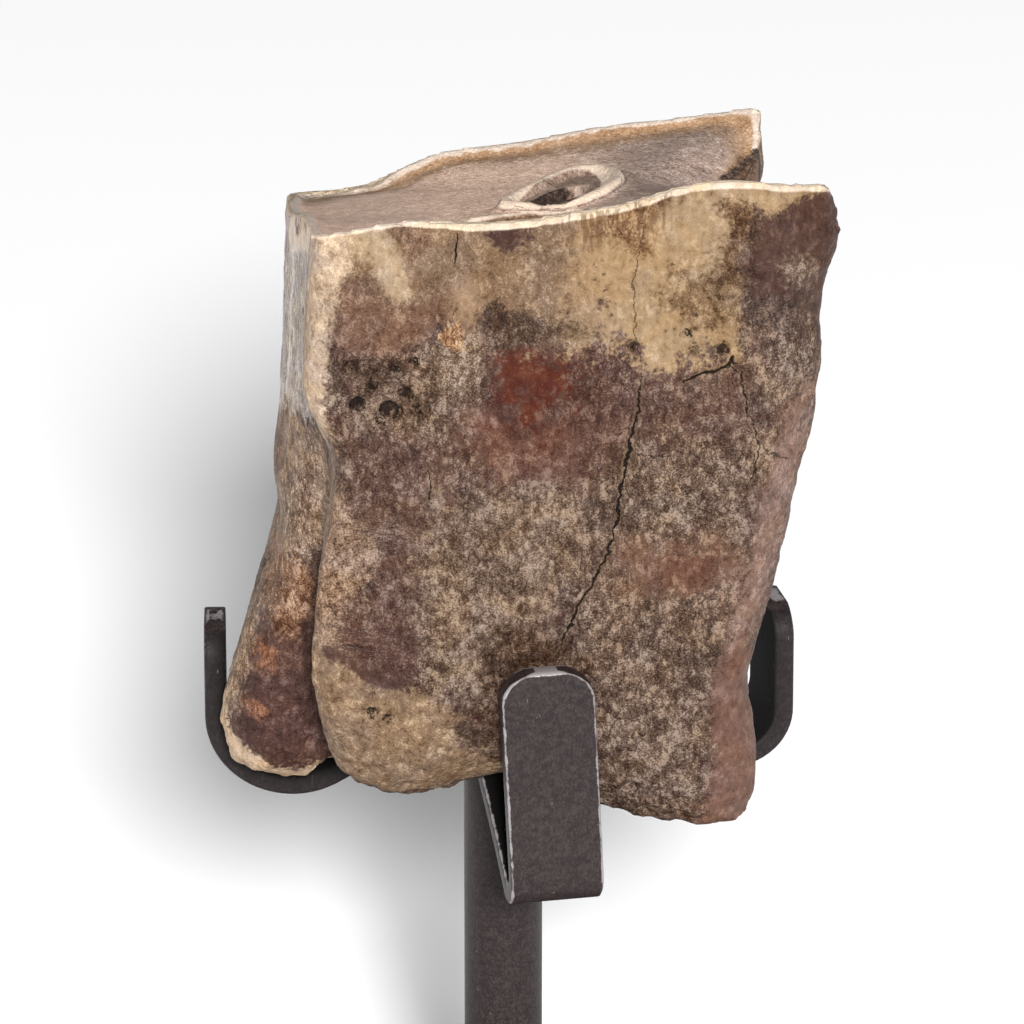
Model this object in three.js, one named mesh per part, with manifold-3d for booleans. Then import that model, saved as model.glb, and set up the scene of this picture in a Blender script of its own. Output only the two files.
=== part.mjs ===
// Fossil woolly rhino upper molar standing in a four-claw stand of black painted steel.
// Units are millimetres and +Z is up.  The origin is the middle of the base plate's underside, on the
// rod's axis.  The tooth and the claws are drawn in seat heights: z = 0 there is the level of the claws'
// bends, SEAT_Z above the table.
import * as THREE from 'three';
import { mergeVertices } from 'three/addons/utils/BufferGeometryUtils.js';
import Module from 'manifold-3d';

const wasm = await Module();
wasm.setup();

// ---- stand ----
const SEAT_Z = 70;             // table to seat height 0
const GAP = 0.3;               // clearance between separate pieces
const BASE_SIDE = 90;          // square base plate
const BASE_THICK = 6;
const BASE_EDGE = 0.8;         // broken edge of the plate
const BASE_CORNER = 2;         // cut of the plate's corners
const ROD_D = 8;
const ROD_EDGE = 0.3;          // broken edge of the rod's ends
const ROD_SOCKET = 4;          // depth of the rod's socket in the plate
const ROUND_SIDES = 28;        // sides of the rod and its socket
const STRIP_W = 9.2;           // flat strip of the claws
const STRIP_T = 2.1;
const STRIP_EDGE = 0.35;       // broken edge of the strip
const HUB_Z = 8;               // underside of the strips over the rod, seat height
const HUB_R = 4.5;             // how far the strips run level from the rod's axis
const BEND_STEPS = 7;
// The rounded end of a strip: distance from its tip, and share of the strip's width there.
const TIP_ROUND = [[2.7, 1], [1.95, 0.9], [1.13, 0.72], [0.49, 0.52], [0, 0.3]];
const PAINT = { color: 0x2b2728, roughness: 0.55, metalness: 0.3 };

// Each claw leaves the rod's end, slopes down to its bend and stands up to its rounded end.  Azimuths,
// leans towards the rod and rolls to the side are in degrees; reach is the outer radius, and tip and low
// are seat heights.  They are listed in plan order.
const CLAWS = {
  claw_right: { azimuth: 14.5, reach: 29.4, tip: 16, bend: 5.8, low: -1, lean: 0.4, roll: 0 },
  claw_back: { azimuth: 104, reach: 18.8, tip: 21, bend: 4, low: 1.2, lean: 0.6, roll: 0 },
  claw_left: { azimuth: 181.5, reach: 30.1, tip: 17.4, bend: 8.8, low: -0.8, lean: 0.2, roll: 0 },
  claw_front: { azimuth: 280.4, reach: 30.1, tip: 24.1, bend: 3.4, low: -1.1, lean: 1.5, roll: 2.6 },
};

// ---- tooth ----
const COLUMN_STEPS = 3;        // mesh columns from one named column to the next
const ROWS = 29;               // mesh rows from root to rim
const ROUNDING = 0.35;         // rounding of the rim's outer edge
const RIM_BAND = 1.1;          // width of the worn enamel rim
const RIM_STAND = 0.4;         // height of the enamel rim over the dentine beside it
const CHEW_CENTRE = [3.5, -4.5];
const CHEW_FLOOR = { z: 62.9, x: 0.12, y: -0.165 };   // the worn floor: height on the axis, and slopes
const FLOOR_REACH = 0.42;      // share of the way to the rim at which the floor starts to rise
const FLOOR_RISE = 1.15;       // power of that rise
const FLOOR_RINGS = [0.86, 0.78, 0.69, 0.58, 0.4, 0.2];
const CAVITY_CENTRE = [0.5, -1.5];
const CAVITY_Z = 17;           // roof of the hollow between the roots, seat height
const CAVITY_RINGS = [0.2, 0.42, 0.64, 0.82, 0.93];
const NEAR_FACE_Y = -26.2;

// Lines down the wall of the tooth, in plan order from the near left edge.  Each runs from root to rim as
// [x, y, z], and the wall is stretched smoothly through them.
const COLUMNS = {
  nearLeftEdge: [
    [-13.2, -17, 6], [-16.4, -20.5, 10.5], [-18, -23, 16.4], [-18.6, -24.4, 24], [-18, -25, 32],
    [-16.2, -25, 39.8], [-15.4, -25, 44], [-16.4, -25.2, 47.6], [-18.7, -25.2, 52.4], [-18, -25, 60],
    [-17.4, -24.8, 68.6],
  ],
  nearLeft: [
    [-9.6, -16.6, 5.2], [-10.2, -21.2, 8.4], [-10.8, -24.4, 14.5], [-11, -25.8, 24], [-10.6, -26, 36],
    [-10.4, -26.2, 50], [-10.2, -26, 62], [-9.7, -25.4, 70.2],
  ],
  nearArch: [
    [-0.6, -17.4, 8.2], [-0.4, -22.2, 11], [-0.2, -25, 17], [0, -26.1, 27], [0, -26.6, 42], [0, -26.4, 58],
    [0, -25.6, 70.3],
  ],
  nearMiddle: [
    [9.8, -21.6, 6.8], [9.8, -24, 9.6], [9.8, -25.6, 17], [10, -26.2, 30], [10.4, -26.6, 48], [10.8, -26, 62],
    [11, -25.2, 71.9],
  ],
  nearRight: [
    [16.6, -22.6, 5.3], [16.8, -24.2, 8], [17, -25.4, 16], [17.2, -26, 30], [18.4, -26.4, 48],
    [19.4, -25.4, 62], [19.8, -24.6, 74.2],
  ],
  pillarFront: [
    [22.2, -22.8, 4.9], [22.4, -23.8, 8], [22.2, -24.2, 18], [23, -24.6, 30], [25.4, -25, 44],
    [26.4, -24.6, 56], [27.6, -24.6, 67], [27.2, -23.8, 73.4],
  ],
  pillarEdge: [
    [24.4, -20.8, 4.9], [25, -21, 9], [24.6, -21, 15.5], [23.7, -21, 20.2], [24.8, -21, 24.4],
    [26.3, -21, 30], [27.6, -21, 36.7], [28.6, -21, 42.6], [29.9, -21, 48], [30.5, -21, 54],
    [30.5, -21, 61.5], [32.3, -21, 67.6], [31.4, -21.4, 71.2], [30.9, -21.8, 72.5],
  ],
  pillarBack: [
    [22.4, -16, 6], [22.6, -15.6, 14], [23.8, -15.6, 28], [27, -15.6, 44], [28.4, -15.8, 58],
    [28.2, -16.6, 69.4],
  ],
  rightMiddle: [
    [18.6, -5.6, 8.6], [20.4, -5.4, 18], [23.6, -5.2, 32], [25.6, -5, 48], [25.4, -5, 60], [25, -5.6, 64.6],
  ],
  rightHollow: [
    [16.8, 2.4, 9.4], [18.8, 3.4, 18], [22.4, 4.2, 32], [24.6, 4.4, 48], [24.7, 4.6, 56], [24.6, 4.8, 61],
  ],
  farRightEdge: [
    [15.4, 9, 7.6], [18.4, 12, 14], [21.8, 13.6, 28], [24.4, 14.2, 44], [25, 14.2, 56], [25.1, 14.4, 65.3],
  ],
  farRight: [[9.6, 10.4, 7], [12, 13.4, 13], [15, 15.4, 28], [16.4, 16, 46], [17, 15.6, 64.4]],
  farFold: [[4.6, 9, 8.4], [6, 12, 14], [8, 14.2, 28], [9, 14.8, 46], [9.6, 14.9, 63.8]],
  farMiddle: [[-1.4, 10.6, 10.4], [-0.6, 13.2, 15], [0.8, 15.2, 28], [1.6, 16, 46], [1.8, 15.6, 61.9]],
  farLeft: [[-8, 11.4, 8], [-8, 13.8, 13.4], [-7.4, 15.6, 28], [-7, 16, 44], [-7, 15.2, 60.7]],
  farLeftFold: [[-12.6, 10, 7.4], [-13.8, 12.4, 12.6], [-14.2, 14, 27], [-14.2, 14.8, 43], [-14, 14.6, 57.6]],
  farLeftEdge: [[-16.4, 7.6, 6.8], [-19, 9.6, 12], [-20.8, 12, 26], [-21, 13.4, 42], [-20.9, 13.8, 57]],
  leftFar: [
    [-19.4, 2.4, 5.4], [-22.4, 3.6, 10], [-22.8, 4.8, 21], [-22, 6, 32.6], [-21.7, 6.8, 43], [-21.4, 7, 59.4],
  ],
  hindRoot: [
    [-23.4, -7.2, 2.6], [-26.7, -8, 4.4], [-28.2, -8.8, 9], [-27.4, -8.6, 14.6], [-25.9, -8, 19.8],
    [-23.9, -7, 25.4], [-22.1, -5.6, 31.4], [-22.7, -5, 35.2], [-21.9, -4.6, 42], [-21.4, -4.4, 52],
    [-20.9, -4.2, 62.4],
  ],
  hindRootFront: [
    [-20.8, -10.6, 3], [-23.4, -12.4, 5.4], [-24.6, -13.2, 11], [-23.4, -13.2, 19], [-21.2, -12.8, 28],
    [-20.4, -12.6, 38], [-20, -12.4, 50], [-19.3, -12.6, 65.6],
  ],
  rootGroove: [
    [-14.2, -13.2, 8], [-14.6, -14.2, 13], [-15, -14.8, 23], [-16.2, -16.4, 35], [-17.6, -17.8, 45],
    [-18.8, -18.8, 54], [-18.4, -19.4, 67.2],
  ],
};

// Patches of the near face that lie under the cement around them, as soft boxes in x and z: the enamel
// where the cement has come off, and the porous hollow.  Each side is [outside, inside].
const BARE_ENAMEL = { depth: 0.5, left: [-6.5, -4], right: [24, 22], low: [54, 57], high: [71, 66] };
const POROUS_HOLLOW = {
  depth: 0.7, left: [-15.5, -13.5], right: [-5.5, -8], low: [47, 49.5], high: [56, 53.5],
};
// Swellings down the near face: [depth, turns per mm across, turns per mm up, shift].
const SWELLINGS = [[0.2, 0.42, 0, 4.6], [0.14, 0.23, 0.09, 0], [0.12, -0.31, 0.2, 1]];

// Enamel loops on the chewing surface, as plan outlines.
const LOOP_STAND = 0.9;        // height of the loops over the dentine
const LOOP_ROOT = 4;           // how far the loops reach under it
const LOOP_STEPS = 20;
const FOSSETTE_BAND = 1.2;
const FOSSETTE = [
  [-0.4, -6.8], [2.2, -1], [5.6, 4], [8.8, 5.2], [11.2, 2.2], [11.6, -2.4], [9.2, -6.6], [4.4, -7.6],
];
const PIT_DEPTH = 5;
const FOSSETTE_PIT = [[3.4, -5.2], [5, -2.2], [7.4, -0.6], [8.6, -2.6], [7.4, -5.2], [5.2, -6.2]];
const LENS_BAND = 0.7;
const LENS = [[-8.4, -15.8], [-4.4, -13], [1.4, -11.6], [6.6, -12], [9.4, -14], [4.8, -15.4], [-1.6, -16.4]];

// Broken end of the floor at the right side of the rim: a five-sided cone standing on its point.
const CHIP = { at: [25.2, 6.4, 63], radius: 4.2, height: 8, turn: 20 };

// Cracks in the near face: lines of [x, z], each with its greatest width and its depth.
const CRACKS = [
  {
    width: 0.7,
    depth: 1.3,
    line: [[13.2, 55.5], [12.9, 51], [12.1, 47.2], [11.4, 43.5], [11.1, 40.5], [10.4, 37], [9.2, 34],
      [7.4, 30.8], [6.4, 28], [5, 24.8]],
  },
  { width: 0.35, depth: 0.8, line: [[12.1, 47], [13.6, 46.6], [15, 46.4]] },
  {
    width: 0.5,
    depth: 1,
    line: [[17.2, 54.2], [20.6, 55.4], [22.4, 55.2], [23, 53.6], [23.4, 50.8], [24.3, 48.6], [24.5, 46.2],
      [23.6, 43.2]],
  },
  { width: 0.3, depth: 0.7, line: [[24.4, 48], [25.3, 46.4], [27.2, 45.2]] },
];
const BLADE_REACH = 6;         // how far the blade that cuts a crack stands out of the face

// Holes in the porous hollow: [x, z, radius].
const PORES = [
  [-13.6, 51.2, 0.7], [-10.8, 50.4, 0.85], [-12.2, 52.6, 0.5], [-9.2, 51.8, 0.6], [-8.4, 50.2, 0.5],
  [-11.6, 49, 0.5],
];

// ---- helpers ----

/** Smooth step from 0 at one value to 1 at the other, rising or falling. */
function ramp([from, to], x) {
  const t = THREE.MathUtils.clamp((x - from) / (to - from), 0, 1);
  return t * t * (3 - 2 * t);
}

/** Middle of a list of vectors. */
function middle(points) {
  const sum = points.reduce((total, p) => total.add(p), points[0].clone().setScalar(0));
  return sum.divideScalar(points.length);
}

/** Stretches rings of points, from bottom to top, into one closed geometry between two end points. */
function skin(rings, bottom, top) {
  const n = rings[0].length;
  const points = [...rings.flat(), bottom, top];
  const bottomIndex = rings.length * n;
  const last = bottomIndex - n;
  const index = [];
  for (let i = 0; i < n; i += 1) {
    const next = (i + 1) % n;
    index.push(bottomIndex, next, i);
    for (let start = 0; start < last; start += n) {
      const a = start + i;
      const b = start + next;
      index.push(a, b, b + n, a, b + n, a + n);
    }
    index.push(bottomIndex + 1, last + i, last + next);
  }
  const geometry = new THREE.BufferGeometry().setFromPoints(points);
  geometry.setIndex(index);
  return geometry;
}

/** A closed geometry as a solid that can be joined and cut. */
function solid(geometry) {
  const bare = geometry.clone();
  bare.deleteAttribute('normal');
  bare.deleteAttribute('uv');
  const merged = mergeVertices(bare, 1e-5);
  const mesh = new wasm.Mesh({
    numProp: 3,
    vertProperties: new Float32Array(merged.attributes.position.array),
    triVerts: new Uint32Array(merged.index.array),
  });
  return new wasm.Manifold(mesh);
}

/** A joined or cut solid as a three.js geometry. */
function geometryOf(body) {
  const mesh = body.getMesh();
  const geometry = new THREE.BufferGeometry();
  geometry.setAttribute('position', new THREE.Float32BufferAttribute(mesh.vertProperties, 3));
  geometry.setIndex([...mesh.triVerts]);
  geometry.computeVertexNormals();
  return geometry;
}

/** One named piece with its own material. */
function piece(name, geometry, finish) {
  const mesh = new THREE.Mesh(geometry, new THREE.MeshStandardMaterial(finish));
  mesh.name = name;
  return mesh;
}

/** Smooth curve through points, closed or open. */
function smoothCurve(points, closed) {
  return new THREE.CatmullRomCurve3(points, closed, 'centripetal');
}

// ---- tooth ----

/** A column as a function of the share of the way from root to rim. */
function columnCurve(points) {
  const samples = smoothCurve(points.map((p) => new THREE.Vector3(...p)), false).getPoints(160);
  const low = samples[0].z;
  const high = samples[samples.length - 1].z;
  return (share) => {
    const z = THREE.MathUtils.lerp(low, high, share);
    const above = Math.max(1, samples.findIndex((p) => p.z >= z - 1e-9));
    const a = samples[above - 1];
    const b = samples[above];
    return a.clone().lerp(b, THREE.MathUtils.clamp((z - a.z) / (b.z - a.z), 0, 1));
  };
}

/** How far a point of the near face lies under its smooth shape. */
function nearRelief(x, z) {
  const patches = [BARE_ENAMEL, POROUS_HOLLOW].map((patch) => (
    patch.depth * ramp(patch.left, x) * ramp(patch.right, x) * ramp(patch.low, z) * ramp(patch.high, z)
  ));
  const swellings = SWELLINGS.map(([depth, across, up, shift]) => (
    depth * Math.cos(x * across + z * up + shift)
  ));
  return [...patches, ...swellings].reduce((sum, depth) => sum + depth, 0);
}

/** One ring of the wall at a share of the way from root to rim. */
function wallRing(columns, share) {
  const through = smoothCurve(columns.map((column) => column(share)), true);
  const ring = through.getPoints(columns.length * COLUMN_STEPS).slice(0, -1);
  for (const p of ring) {
    const onNearFace = ramp([-21.5, -24.5], p.y) * ramp([0, 0.25], share) * ramp([1, 0.93], share);
    p.y += onNearFace * nearRelief(p.x, p.z);
  }
  return ring;
}

function chewFloor(x, y) {
  return CHEW_FLOOR.z + CHEW_FLOOR.x * x + CHEW_FLOOR.y * y;
}

/** Rings over the chewing surface, from its rim to its centre: a worn enamel rim around dished dentine. */
function chewingRings(rim) {
  const [cx, cy] = CHEW_CENTRE;
  const at = (p, share, drop) => {
    const x = THREE.MathUtils.lerp(cx, p.x, share);
    const y = THREE.MathUtils.lerp(cy, p.y, share);
    const climb = Math.max(0, (share - FLOOR_REACH) / (1 - FLOOR_REACH)) ** FLOOR_RISE;
    return new THREE.Vector3(x, y, chewFloor(x, y) + (p.z - chewFloor(p.x, p.y)) * climb - drop);
  };
  const inside = (distance, drop) => rim.map((p) => (
    at(p, 1 - distance / Math.hypot(p.x - cx, p.y - cy), drop)
  ));
  const floor = FLOOR_RINGS.map((share) => rim.map((p) => (
    at(p, share, RIM_STAND * ramp([0.5, 0.9], share))
  )));
  const enamel = [inside(ROUNDING, -ROUNDING), inside(RIM_BAND, -0.15)];
  return [...enamel, inside(RIM_BAND + 0.7, RIM_STAND), ...floor];
}

/** Rings over the underside, from the roof of the hollow between the roots out to their edge. */
function undersideRings(edge) {
  const [cx, cy] = CAVITY_CENTRE;
  return CAVITY_RINGS.map((share) => edge.map((p) => new THREE.Vector3(
    THREE.MathUtils.lerp(cx, p.x, share),
    THREE.MathUtils.lerp(cy, p.y, share),
    THREE.MathUtils.lerp(CAVITY_Z, p.z, ramp([0.05, 1], share)) - 0.5 * ramp([0.8, 0.93], share),
  )));
}

/** The tooth without its loops, pits and cracks. */
function toothBody() {
  const columns = Object.values(COLUMNS).map(columnCurve);
  const wall = Array.from({ length: ROWS + 1 }, (_, row) => wallRing(columns, row / ROWS));
  const rings = [...undersideRings(wall[0]), ...wall, ...chewingRings(wall[ROWS])];
  const roof = new THREE.Vector3(...CAVITY_CENTRE, CAVITY_Z);
  const centre = new THREE.Vector3(...CHEW_CENTRE, chewFloor(...CHEW_CENTRE));
  return solid(skin(rings, roof, centre));
}

/** A plan outline, or a band along its inside, as an upright solid with ends that follow the floor. */
function onFloor(outline, low, high, band = 0) {
  const corners = outline.map(([x, y]) => new THREE.Vector3(x, y, 0));
  const points = smoothCurve(corners, true).getPoints(LOOP_STEPS).slice(0, -1);
  const shape = new THREE.Shape(points);
  if (band > 0) {
    const centre = middle(points);
    const inner = points.map((p) => p.clone().add(centre.clone().sub(p).setLength(band)));
    shape.holes.push(new THREE.Path(inner.reverse()));
  }
  const geometry = new THREE.ExtrudeGeometry(shape, { depth: high - low, bevelEnabled: false });
  geometry.translate(0, 0, low);
  return solid(geometry.applyMatrix4(new THREE.Matrix4().set(
    1, 0, 0, 0,
    0, 1, 0, 0,
    CHEW_FLOOR.x, CHEW_FLOOR.y, 1, CHEW_FLOOR.z,
    0, 0, 0, 1,
  )));
}

/** The thin blade that cuts a crack: it tapers to both ends and stands through the near face. */
function crackBlade({ line, width, depth }) {
  const points = line.map(([x, z]) => new THREE.Vector2(x, z));
  const side = (sign) => points.map((p, i) => {
    const before = points[Math.max(0, i - 1)];
    const after = points[Math.min(points.length - 1, i + 1)];
    const along = after.clone().sub(before).normalize();
    const t = i / (points.length - 1);
    const half = sign * 0.5 * width * Math.min(1, 0.12 + 5 * t * (1 - t));
    return new THREE.Vector2(p.x - along.y * half, p.y + along.x * half);
  });
  const shape = new THREE.Shape([...side(1), ...side(-1).reverse()]);
  const blade = new THREE.ExtrudeGeometry(shape, { depth: BLADE_REACH, bevelEnabled: false });
  return solid(blade.rotateX(Math.PI / 2).translate(0, NEAR_FACE_Y + depth, 0));
}

function tooth() {
  const chip = new THREE.ConeGeometry(CHIP.radius, CHIP.height, 5).rotateX(-Math.PI / 2);
  chip.rotateZ(THREE.MathUtils.degToRad(CHIP.turn)).translate(...CHIP.at);
  let body = toothBody()
    .add(onFloor(FOSSETTE, -LOOP_ROOT, LOOP_STAND, FOSSETTE_BAND))
    .add(onFloor(LENS, -LOOP_ROOT, LOOP_STAND, LENS_BAND))
    .subtract(onFloor(FOSSETTE_PIT, -PIT_DEPTH, PIT_DEPTH))
    .subtract(solid(chip));
  for (const crack of CRACKS) {
    body = body.subtract(crackBlade(crack));
  }
  for (const [x, z, radius] of PORES) {
    body = body.subtract(solid(new THREE.IcosahedronGeometry(radius, 1).translate(x, NEAR_FACE_Y + 0.5, z)));
  }
  const mesh = piece('tooth', geometryOf(body), { color: 0x8a6f58, roughness: 0.6, metalness: 0 });
  mesh.position.z = SEAT_Z;
  return mesh;
}

// ---- stand ----

/** The middle line of a claw's strip in the plane of its reach, as points (r, z) in seat heights. */
function clawLine({ reach, tip, bend, low, lean }) {
  const radius = bend - STRIP_T / 2;
  const hub = new THREE.Vector2(HUB_R, HUB_Z + STRIP_T / 2);
  const elbow = new THREE.Vector2(reach - bend, low + bend);
  const toElbow = elbow.clone().sub(hub);
  const start = toElbow.angle() - Math.asin(radius / toElbow.length()) - Math.PI / 2;
  const end = THREE.MathUtils.degToRad(lean) + 2 * Math.PI;
  const line = [new THREE.Vector2(0, hub.y), hub];
  for (let step = 0; step <= BEND_STEPS; step += 1) {
    const angle = THREE.MathUtils.lerp(start, end, step / BEND_STEPS);
    line.push(elbow.clone().add(new THREE.Vector2(radius, 0).rotateAround(new THREE.Vector2(), angle)));
  }
  const foot = line[line.length - 1];
  const rise = new THREE.Vector2(0, 1).rotateAround(new THREE.Vector2(), end);
  const height = (tip - foot.y) / rise.y;
  for (const [back] of TIP_ROUND) {
    line.push(foot.clone().addScaledVector(rise, height - back));
  }
  return line;
}

/** Corners of the strip's section as [across, out]. */
function stripSection(halfWidth) {
  const t = STRIP_T / 2;
  const w = halfWidth;
  const e = STRIP_EDGE;
  const right = [[w - e, t], [w, t - e], [w, -t + e], [w - e, -t]];
  return [...right, ...right.map(([across, out]) => [-across, -out])];
}

/** A claw: the strip swept along its middle line, rounded at its end and mitred to its neighbours. */
function claw(name, before, after) {
  const spec = CLAWS[name];
  const line = clawLine(spec);
  const tipStart = line.length - TIP_ROUND.length;
  const rings = line.map((p, i) => {
    const along = line[Math.min(line.length - 1, i + 1)].clone().sub(line[Math.max(0, i - 1)]).normalize();
    const share = i < tipStart ? 1 : TIP_ROUND[i - tipStart][1];
    const aside = Math.max(0, p.y - spec.low - spec.bend) * Math.tan(THREE.MathUtils.degToRad(spec.roll));
    return stripSection((share * STRIP_W) / 2).map(([across, out]) => (
      new THREE.Vector3(p.x + along.y * out, across - aside, p.y - along.x * out)
    ));
  });
  const strip = skin(rings, middle(rings[0]), middle(rings[rings.length - 1]));
  let body = solid(strip.rotateZ(THREE.MathUtils.degToRad(spec.azimuth)));
  for (const [neighbour, side] of [[before, -1], [after, 1]]) {
    const apart = THREE.MathUtils.euclideanModulo(side * (CLAWS[neighbour].azimuth - spec.azimuth), 360);
    const beyond = new THREE.BoxGeometry(60, 40, 60).translate(0, side * (20 - GAP / 2), 0);
    beyond.rotateZ(THREE.MathUtils.degToRad(spec.azimuth + (side * apart) / 2));
    body = body.subtract(solid(beyond));
  }
  const mesh = piece(name, geometryOf(body), PAINT);
  mesh.position.z = SEAT_Z;
  return mesh;
}

function rod() {
  const radius = ROD_D / 2;
  const low = BASE_THICK - ROD_SOCKET + GAP;
  const high = SEAT_Z + HUB_Z - GAP;
  const profile = [
    [0, low], [radius - ROD_EDGE, low], [radius, low + ROD_EDGE],
    [radius, high - ROD_EDGE], [radius - ROD_EDGE, high], [0, high],
  ].map(([r, z]) => new THREE.Vector2(r, z));
  return piece('rod', new THREE.LatheGeometry(profile, ROUND_SIDES).rotateX(Math.PI / 2), PAINT);
}

function base() {
  const half = BASE_SIDE / 2 - BASE_EDGE;
  const cut = half - BASE_CORNER;
  const shape = new THREE.Shape([
    [cut, -half], [half, -cut], [half, cut], [cut, half],
    [-cut, half], [-half, cut], [-half, -cut], [-cut, -half],
  ].map(([x, y]) => new THREE.Vector2(x, y)));
  const plate = new THREE.ExtrudeGeometry(shape, {
    depth: BASE_THICK - 2 * BASE_EDGE, bevelSize: BASE_EDGE, bevelThickness: BASE_EDGE, bevelSegments: 1,
  }).translate(0, 0, BASE_EDGE);
  const bore = ROD_D / 2 + GAP;
  const socket = new THREE.CylinderGeometry(bore, bore, 2 * ROD_SOCKET, ROUND_SIDES).rotateX(Math.PI / 2);
  return piece('base', geometryOf(solid(plate).subtract(solid(socket.translate(0, 0, BASE_THICK)))), PAINT);
}

const model = new THREE.Group();
model.add(base(), rod(), tooth());
const names = Object.keys(CLAWS);
names.forEach((name, i) => {
  const before = names[(i + names.length - 1) % names.length];
  const after = names[(i + 1) % names.length];
  model.add(claw(name, before, after));
});

export default model;
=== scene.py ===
"""Fossil woolly rhino tooth in its four-claw stand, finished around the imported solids.

Lengths in the classes are millimetres, and each mesh is turned into metres as it is made.  The tooth and
the claws are drawn in seat heights: 0 is the level of the claws' bends, SEAT above the table.  Colours are
written as they look on the lit object, in 0-255 steps.
"""

import logging
import math
from collections.abc import Iterator, Sequence
from contextlib import contextmanager
from dataclasses import dataclass, field
from enum import Enum
from typing import Any

import bmesh
import bpy
import numpy as np
from mathutils import Euler, Matrix, Vector


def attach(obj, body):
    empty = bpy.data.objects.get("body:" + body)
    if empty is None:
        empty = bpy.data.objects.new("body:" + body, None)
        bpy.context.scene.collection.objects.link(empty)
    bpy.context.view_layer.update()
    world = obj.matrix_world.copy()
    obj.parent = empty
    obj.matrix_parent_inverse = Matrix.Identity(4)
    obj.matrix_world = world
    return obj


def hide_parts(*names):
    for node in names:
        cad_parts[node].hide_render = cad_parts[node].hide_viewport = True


for leftover in ("Cube", "Light", "Camera"):
    if leftover in bpy.data.objects:
        bpy.data.objects.remove(bpy.data.objects[leftover])
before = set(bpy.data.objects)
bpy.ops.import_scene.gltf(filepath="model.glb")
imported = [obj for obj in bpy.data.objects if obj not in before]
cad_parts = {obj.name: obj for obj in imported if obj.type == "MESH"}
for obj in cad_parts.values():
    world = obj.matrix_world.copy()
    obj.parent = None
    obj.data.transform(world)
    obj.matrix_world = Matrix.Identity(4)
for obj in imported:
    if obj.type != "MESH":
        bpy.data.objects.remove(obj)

Vec = tuple[float, float, float]
Colour = tuple[float, float, float]
Rgba = tuple[float, float, float, float]
Point = tuple[float, float]
Socket = bpy.types.NodeSocket

MM = 0.001
SEAT = 70.0
SEED = 7
LIT = 2.4  # how much brighter than its own colour a surface shows in the studio's light
ENDS = 1.35  # how far the rarest grains lie beyond the dark and light colours
OWN_HUE = 0.5  # how far the grains keep a hue of their own
NO_PATCH = -6.0  # distance stored where a patch can't be
NO_MARK = -3.0  # the same for the pores and the chip
WHITE = (1.0, 1.0, 1.0, 1.0)
GREY = (0.5, 0.5, 0.5, 1.0)

log = logging.getLogger("tooth")


# ---- small helpers ----


def albedo(colour: Colour, lit: float = LIT) -> Rgba:
    """A surface's own colour from how it looks when lit.

    Args:
        colour: How it looks, 0-255.
        lit: How much the light brightens it.

    Returns:
        The linear colour with its alpha.
    """
    channels = (c / 255 for c in colour)
    linear = (c / 12.92 if c <= 0.04045 else ((c + 0.055) / 1.055) ** 2.4 for c in channels)
    return (*(min(0.9, max(0.002, c) / lit) for c in linear), 1.0)


def smoothstep(low: float, high: float, x: np.ndarray) -> np.ndarray:
    """Rises smoothly from 0 at low to 1 at high.

    Args:
        low: Where it starts.
        high: Where it ends; below low, it falls instead.
        x: The values.

    Returns:
        The steps.
    """
    t = np.clip((x - low) / (high - low), 0, 1)
    return t * t * (3 - 2 * t)


def outline_distance(points: np.ndarray, outline: Sequence[Point]) -> np.ndarray:
    """Distance from points to a closed outline.

    Args:
        points: N points of the outline's plane.
        outline: Its corners.

    Returns:
        N distances, positive inside.
    """
    corners = np.asarray(outline, float)
    distance = np.full(len(points), np.inf)
    inside = np.zeros(len(points), bool)
    for a, b in zip(corners, np.roll(corners, -1, axis=0)):
        edge = b - a
        away = points - a
        along = np.clip(away @ edge / (edge @ edge), 0, 1)
        distance = np.minimum(distance, np.linalg.norm(away - along[:, None] * edge, axis=1))
        rises = (a[1] > points[:, 1]) != (b[1] > points[:, 1])
        if a[1] != b[1]:
            inside ^= rises & (points[:, 0] < a[0] + (points[:, 1] - a[1]) * edge[0] / edge[1])
    return np.where(inside, distance, -distance)


def rounded(outline: Sequence[Point], steps: int = 4) -> list[Point]:
    """A closed outline with smooth curves through its corners.

    Args:
        outline: The corners.
        steps: Points on each curve.

    Returns:
        The finer outline.
    """
    p = np.asarray(outline, float)
    before, after, beyond = np.roll(p, 1, axis=0), np.roll(p, -1, axis=0), np.roll(p, -2, axis=0)
    curve = []
    for i in range(len(p)):
        for t in np.arange(steps) / steps:
            a = 2 * p[i] + (after[i] - before[i]) * t
            b = (2 * before[i] - 5 * p[i] + 4 * after[i] - beyond[i]) * t**2
            c = (3 * p[i] - before[i] - 3 * after[i] + beyond[i]) * t**3
            curve.append(tuple((a + b + c) / 2))
    return curve


def new_object(name: str, data: bpy.types.ID) -> bpy.types.Object:
    """An object at the origin, linked to the scene.

    Args:
        name: Its name.
        data: Its mesh, light or camera.

    Returns:
        The object.
    """
    made = bpy.data.objects.new(name, data)
    bpy.context.scene.collection.objects.link(made)
    return made


def settled(piece: bpy.types.Object) -> bpy.types.Mesh:
    """Puts the result of a piece's modifiers into its mesh and takes them off.

    Args:
        piece: The piece.

    Returns:
        Its new mesh.
    """
    graph = bpy.context.evaluated_depsgraph_get()
    mesh = bpy.data.meshes.new_from_object(piece.evaluated_get(graph), depsgraph=graph)
    piece.modifiers.clear()
    piece.data = mesh
    return mesh


@contextmanager
def edited(mesh: bpy.types.Mesh) -> Iterator[bmesh.types.BMesh]:
    """Opens a mesh for editing and writes it back.

    Args:
        mesh: The mesh.

    Yields:
        Its editable form.
    """
    shell = bmesh.new()
    shell.from_mesh(mesh)
    yield shell
    shell.to_mesh(mesh)
    shell.free()


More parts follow.
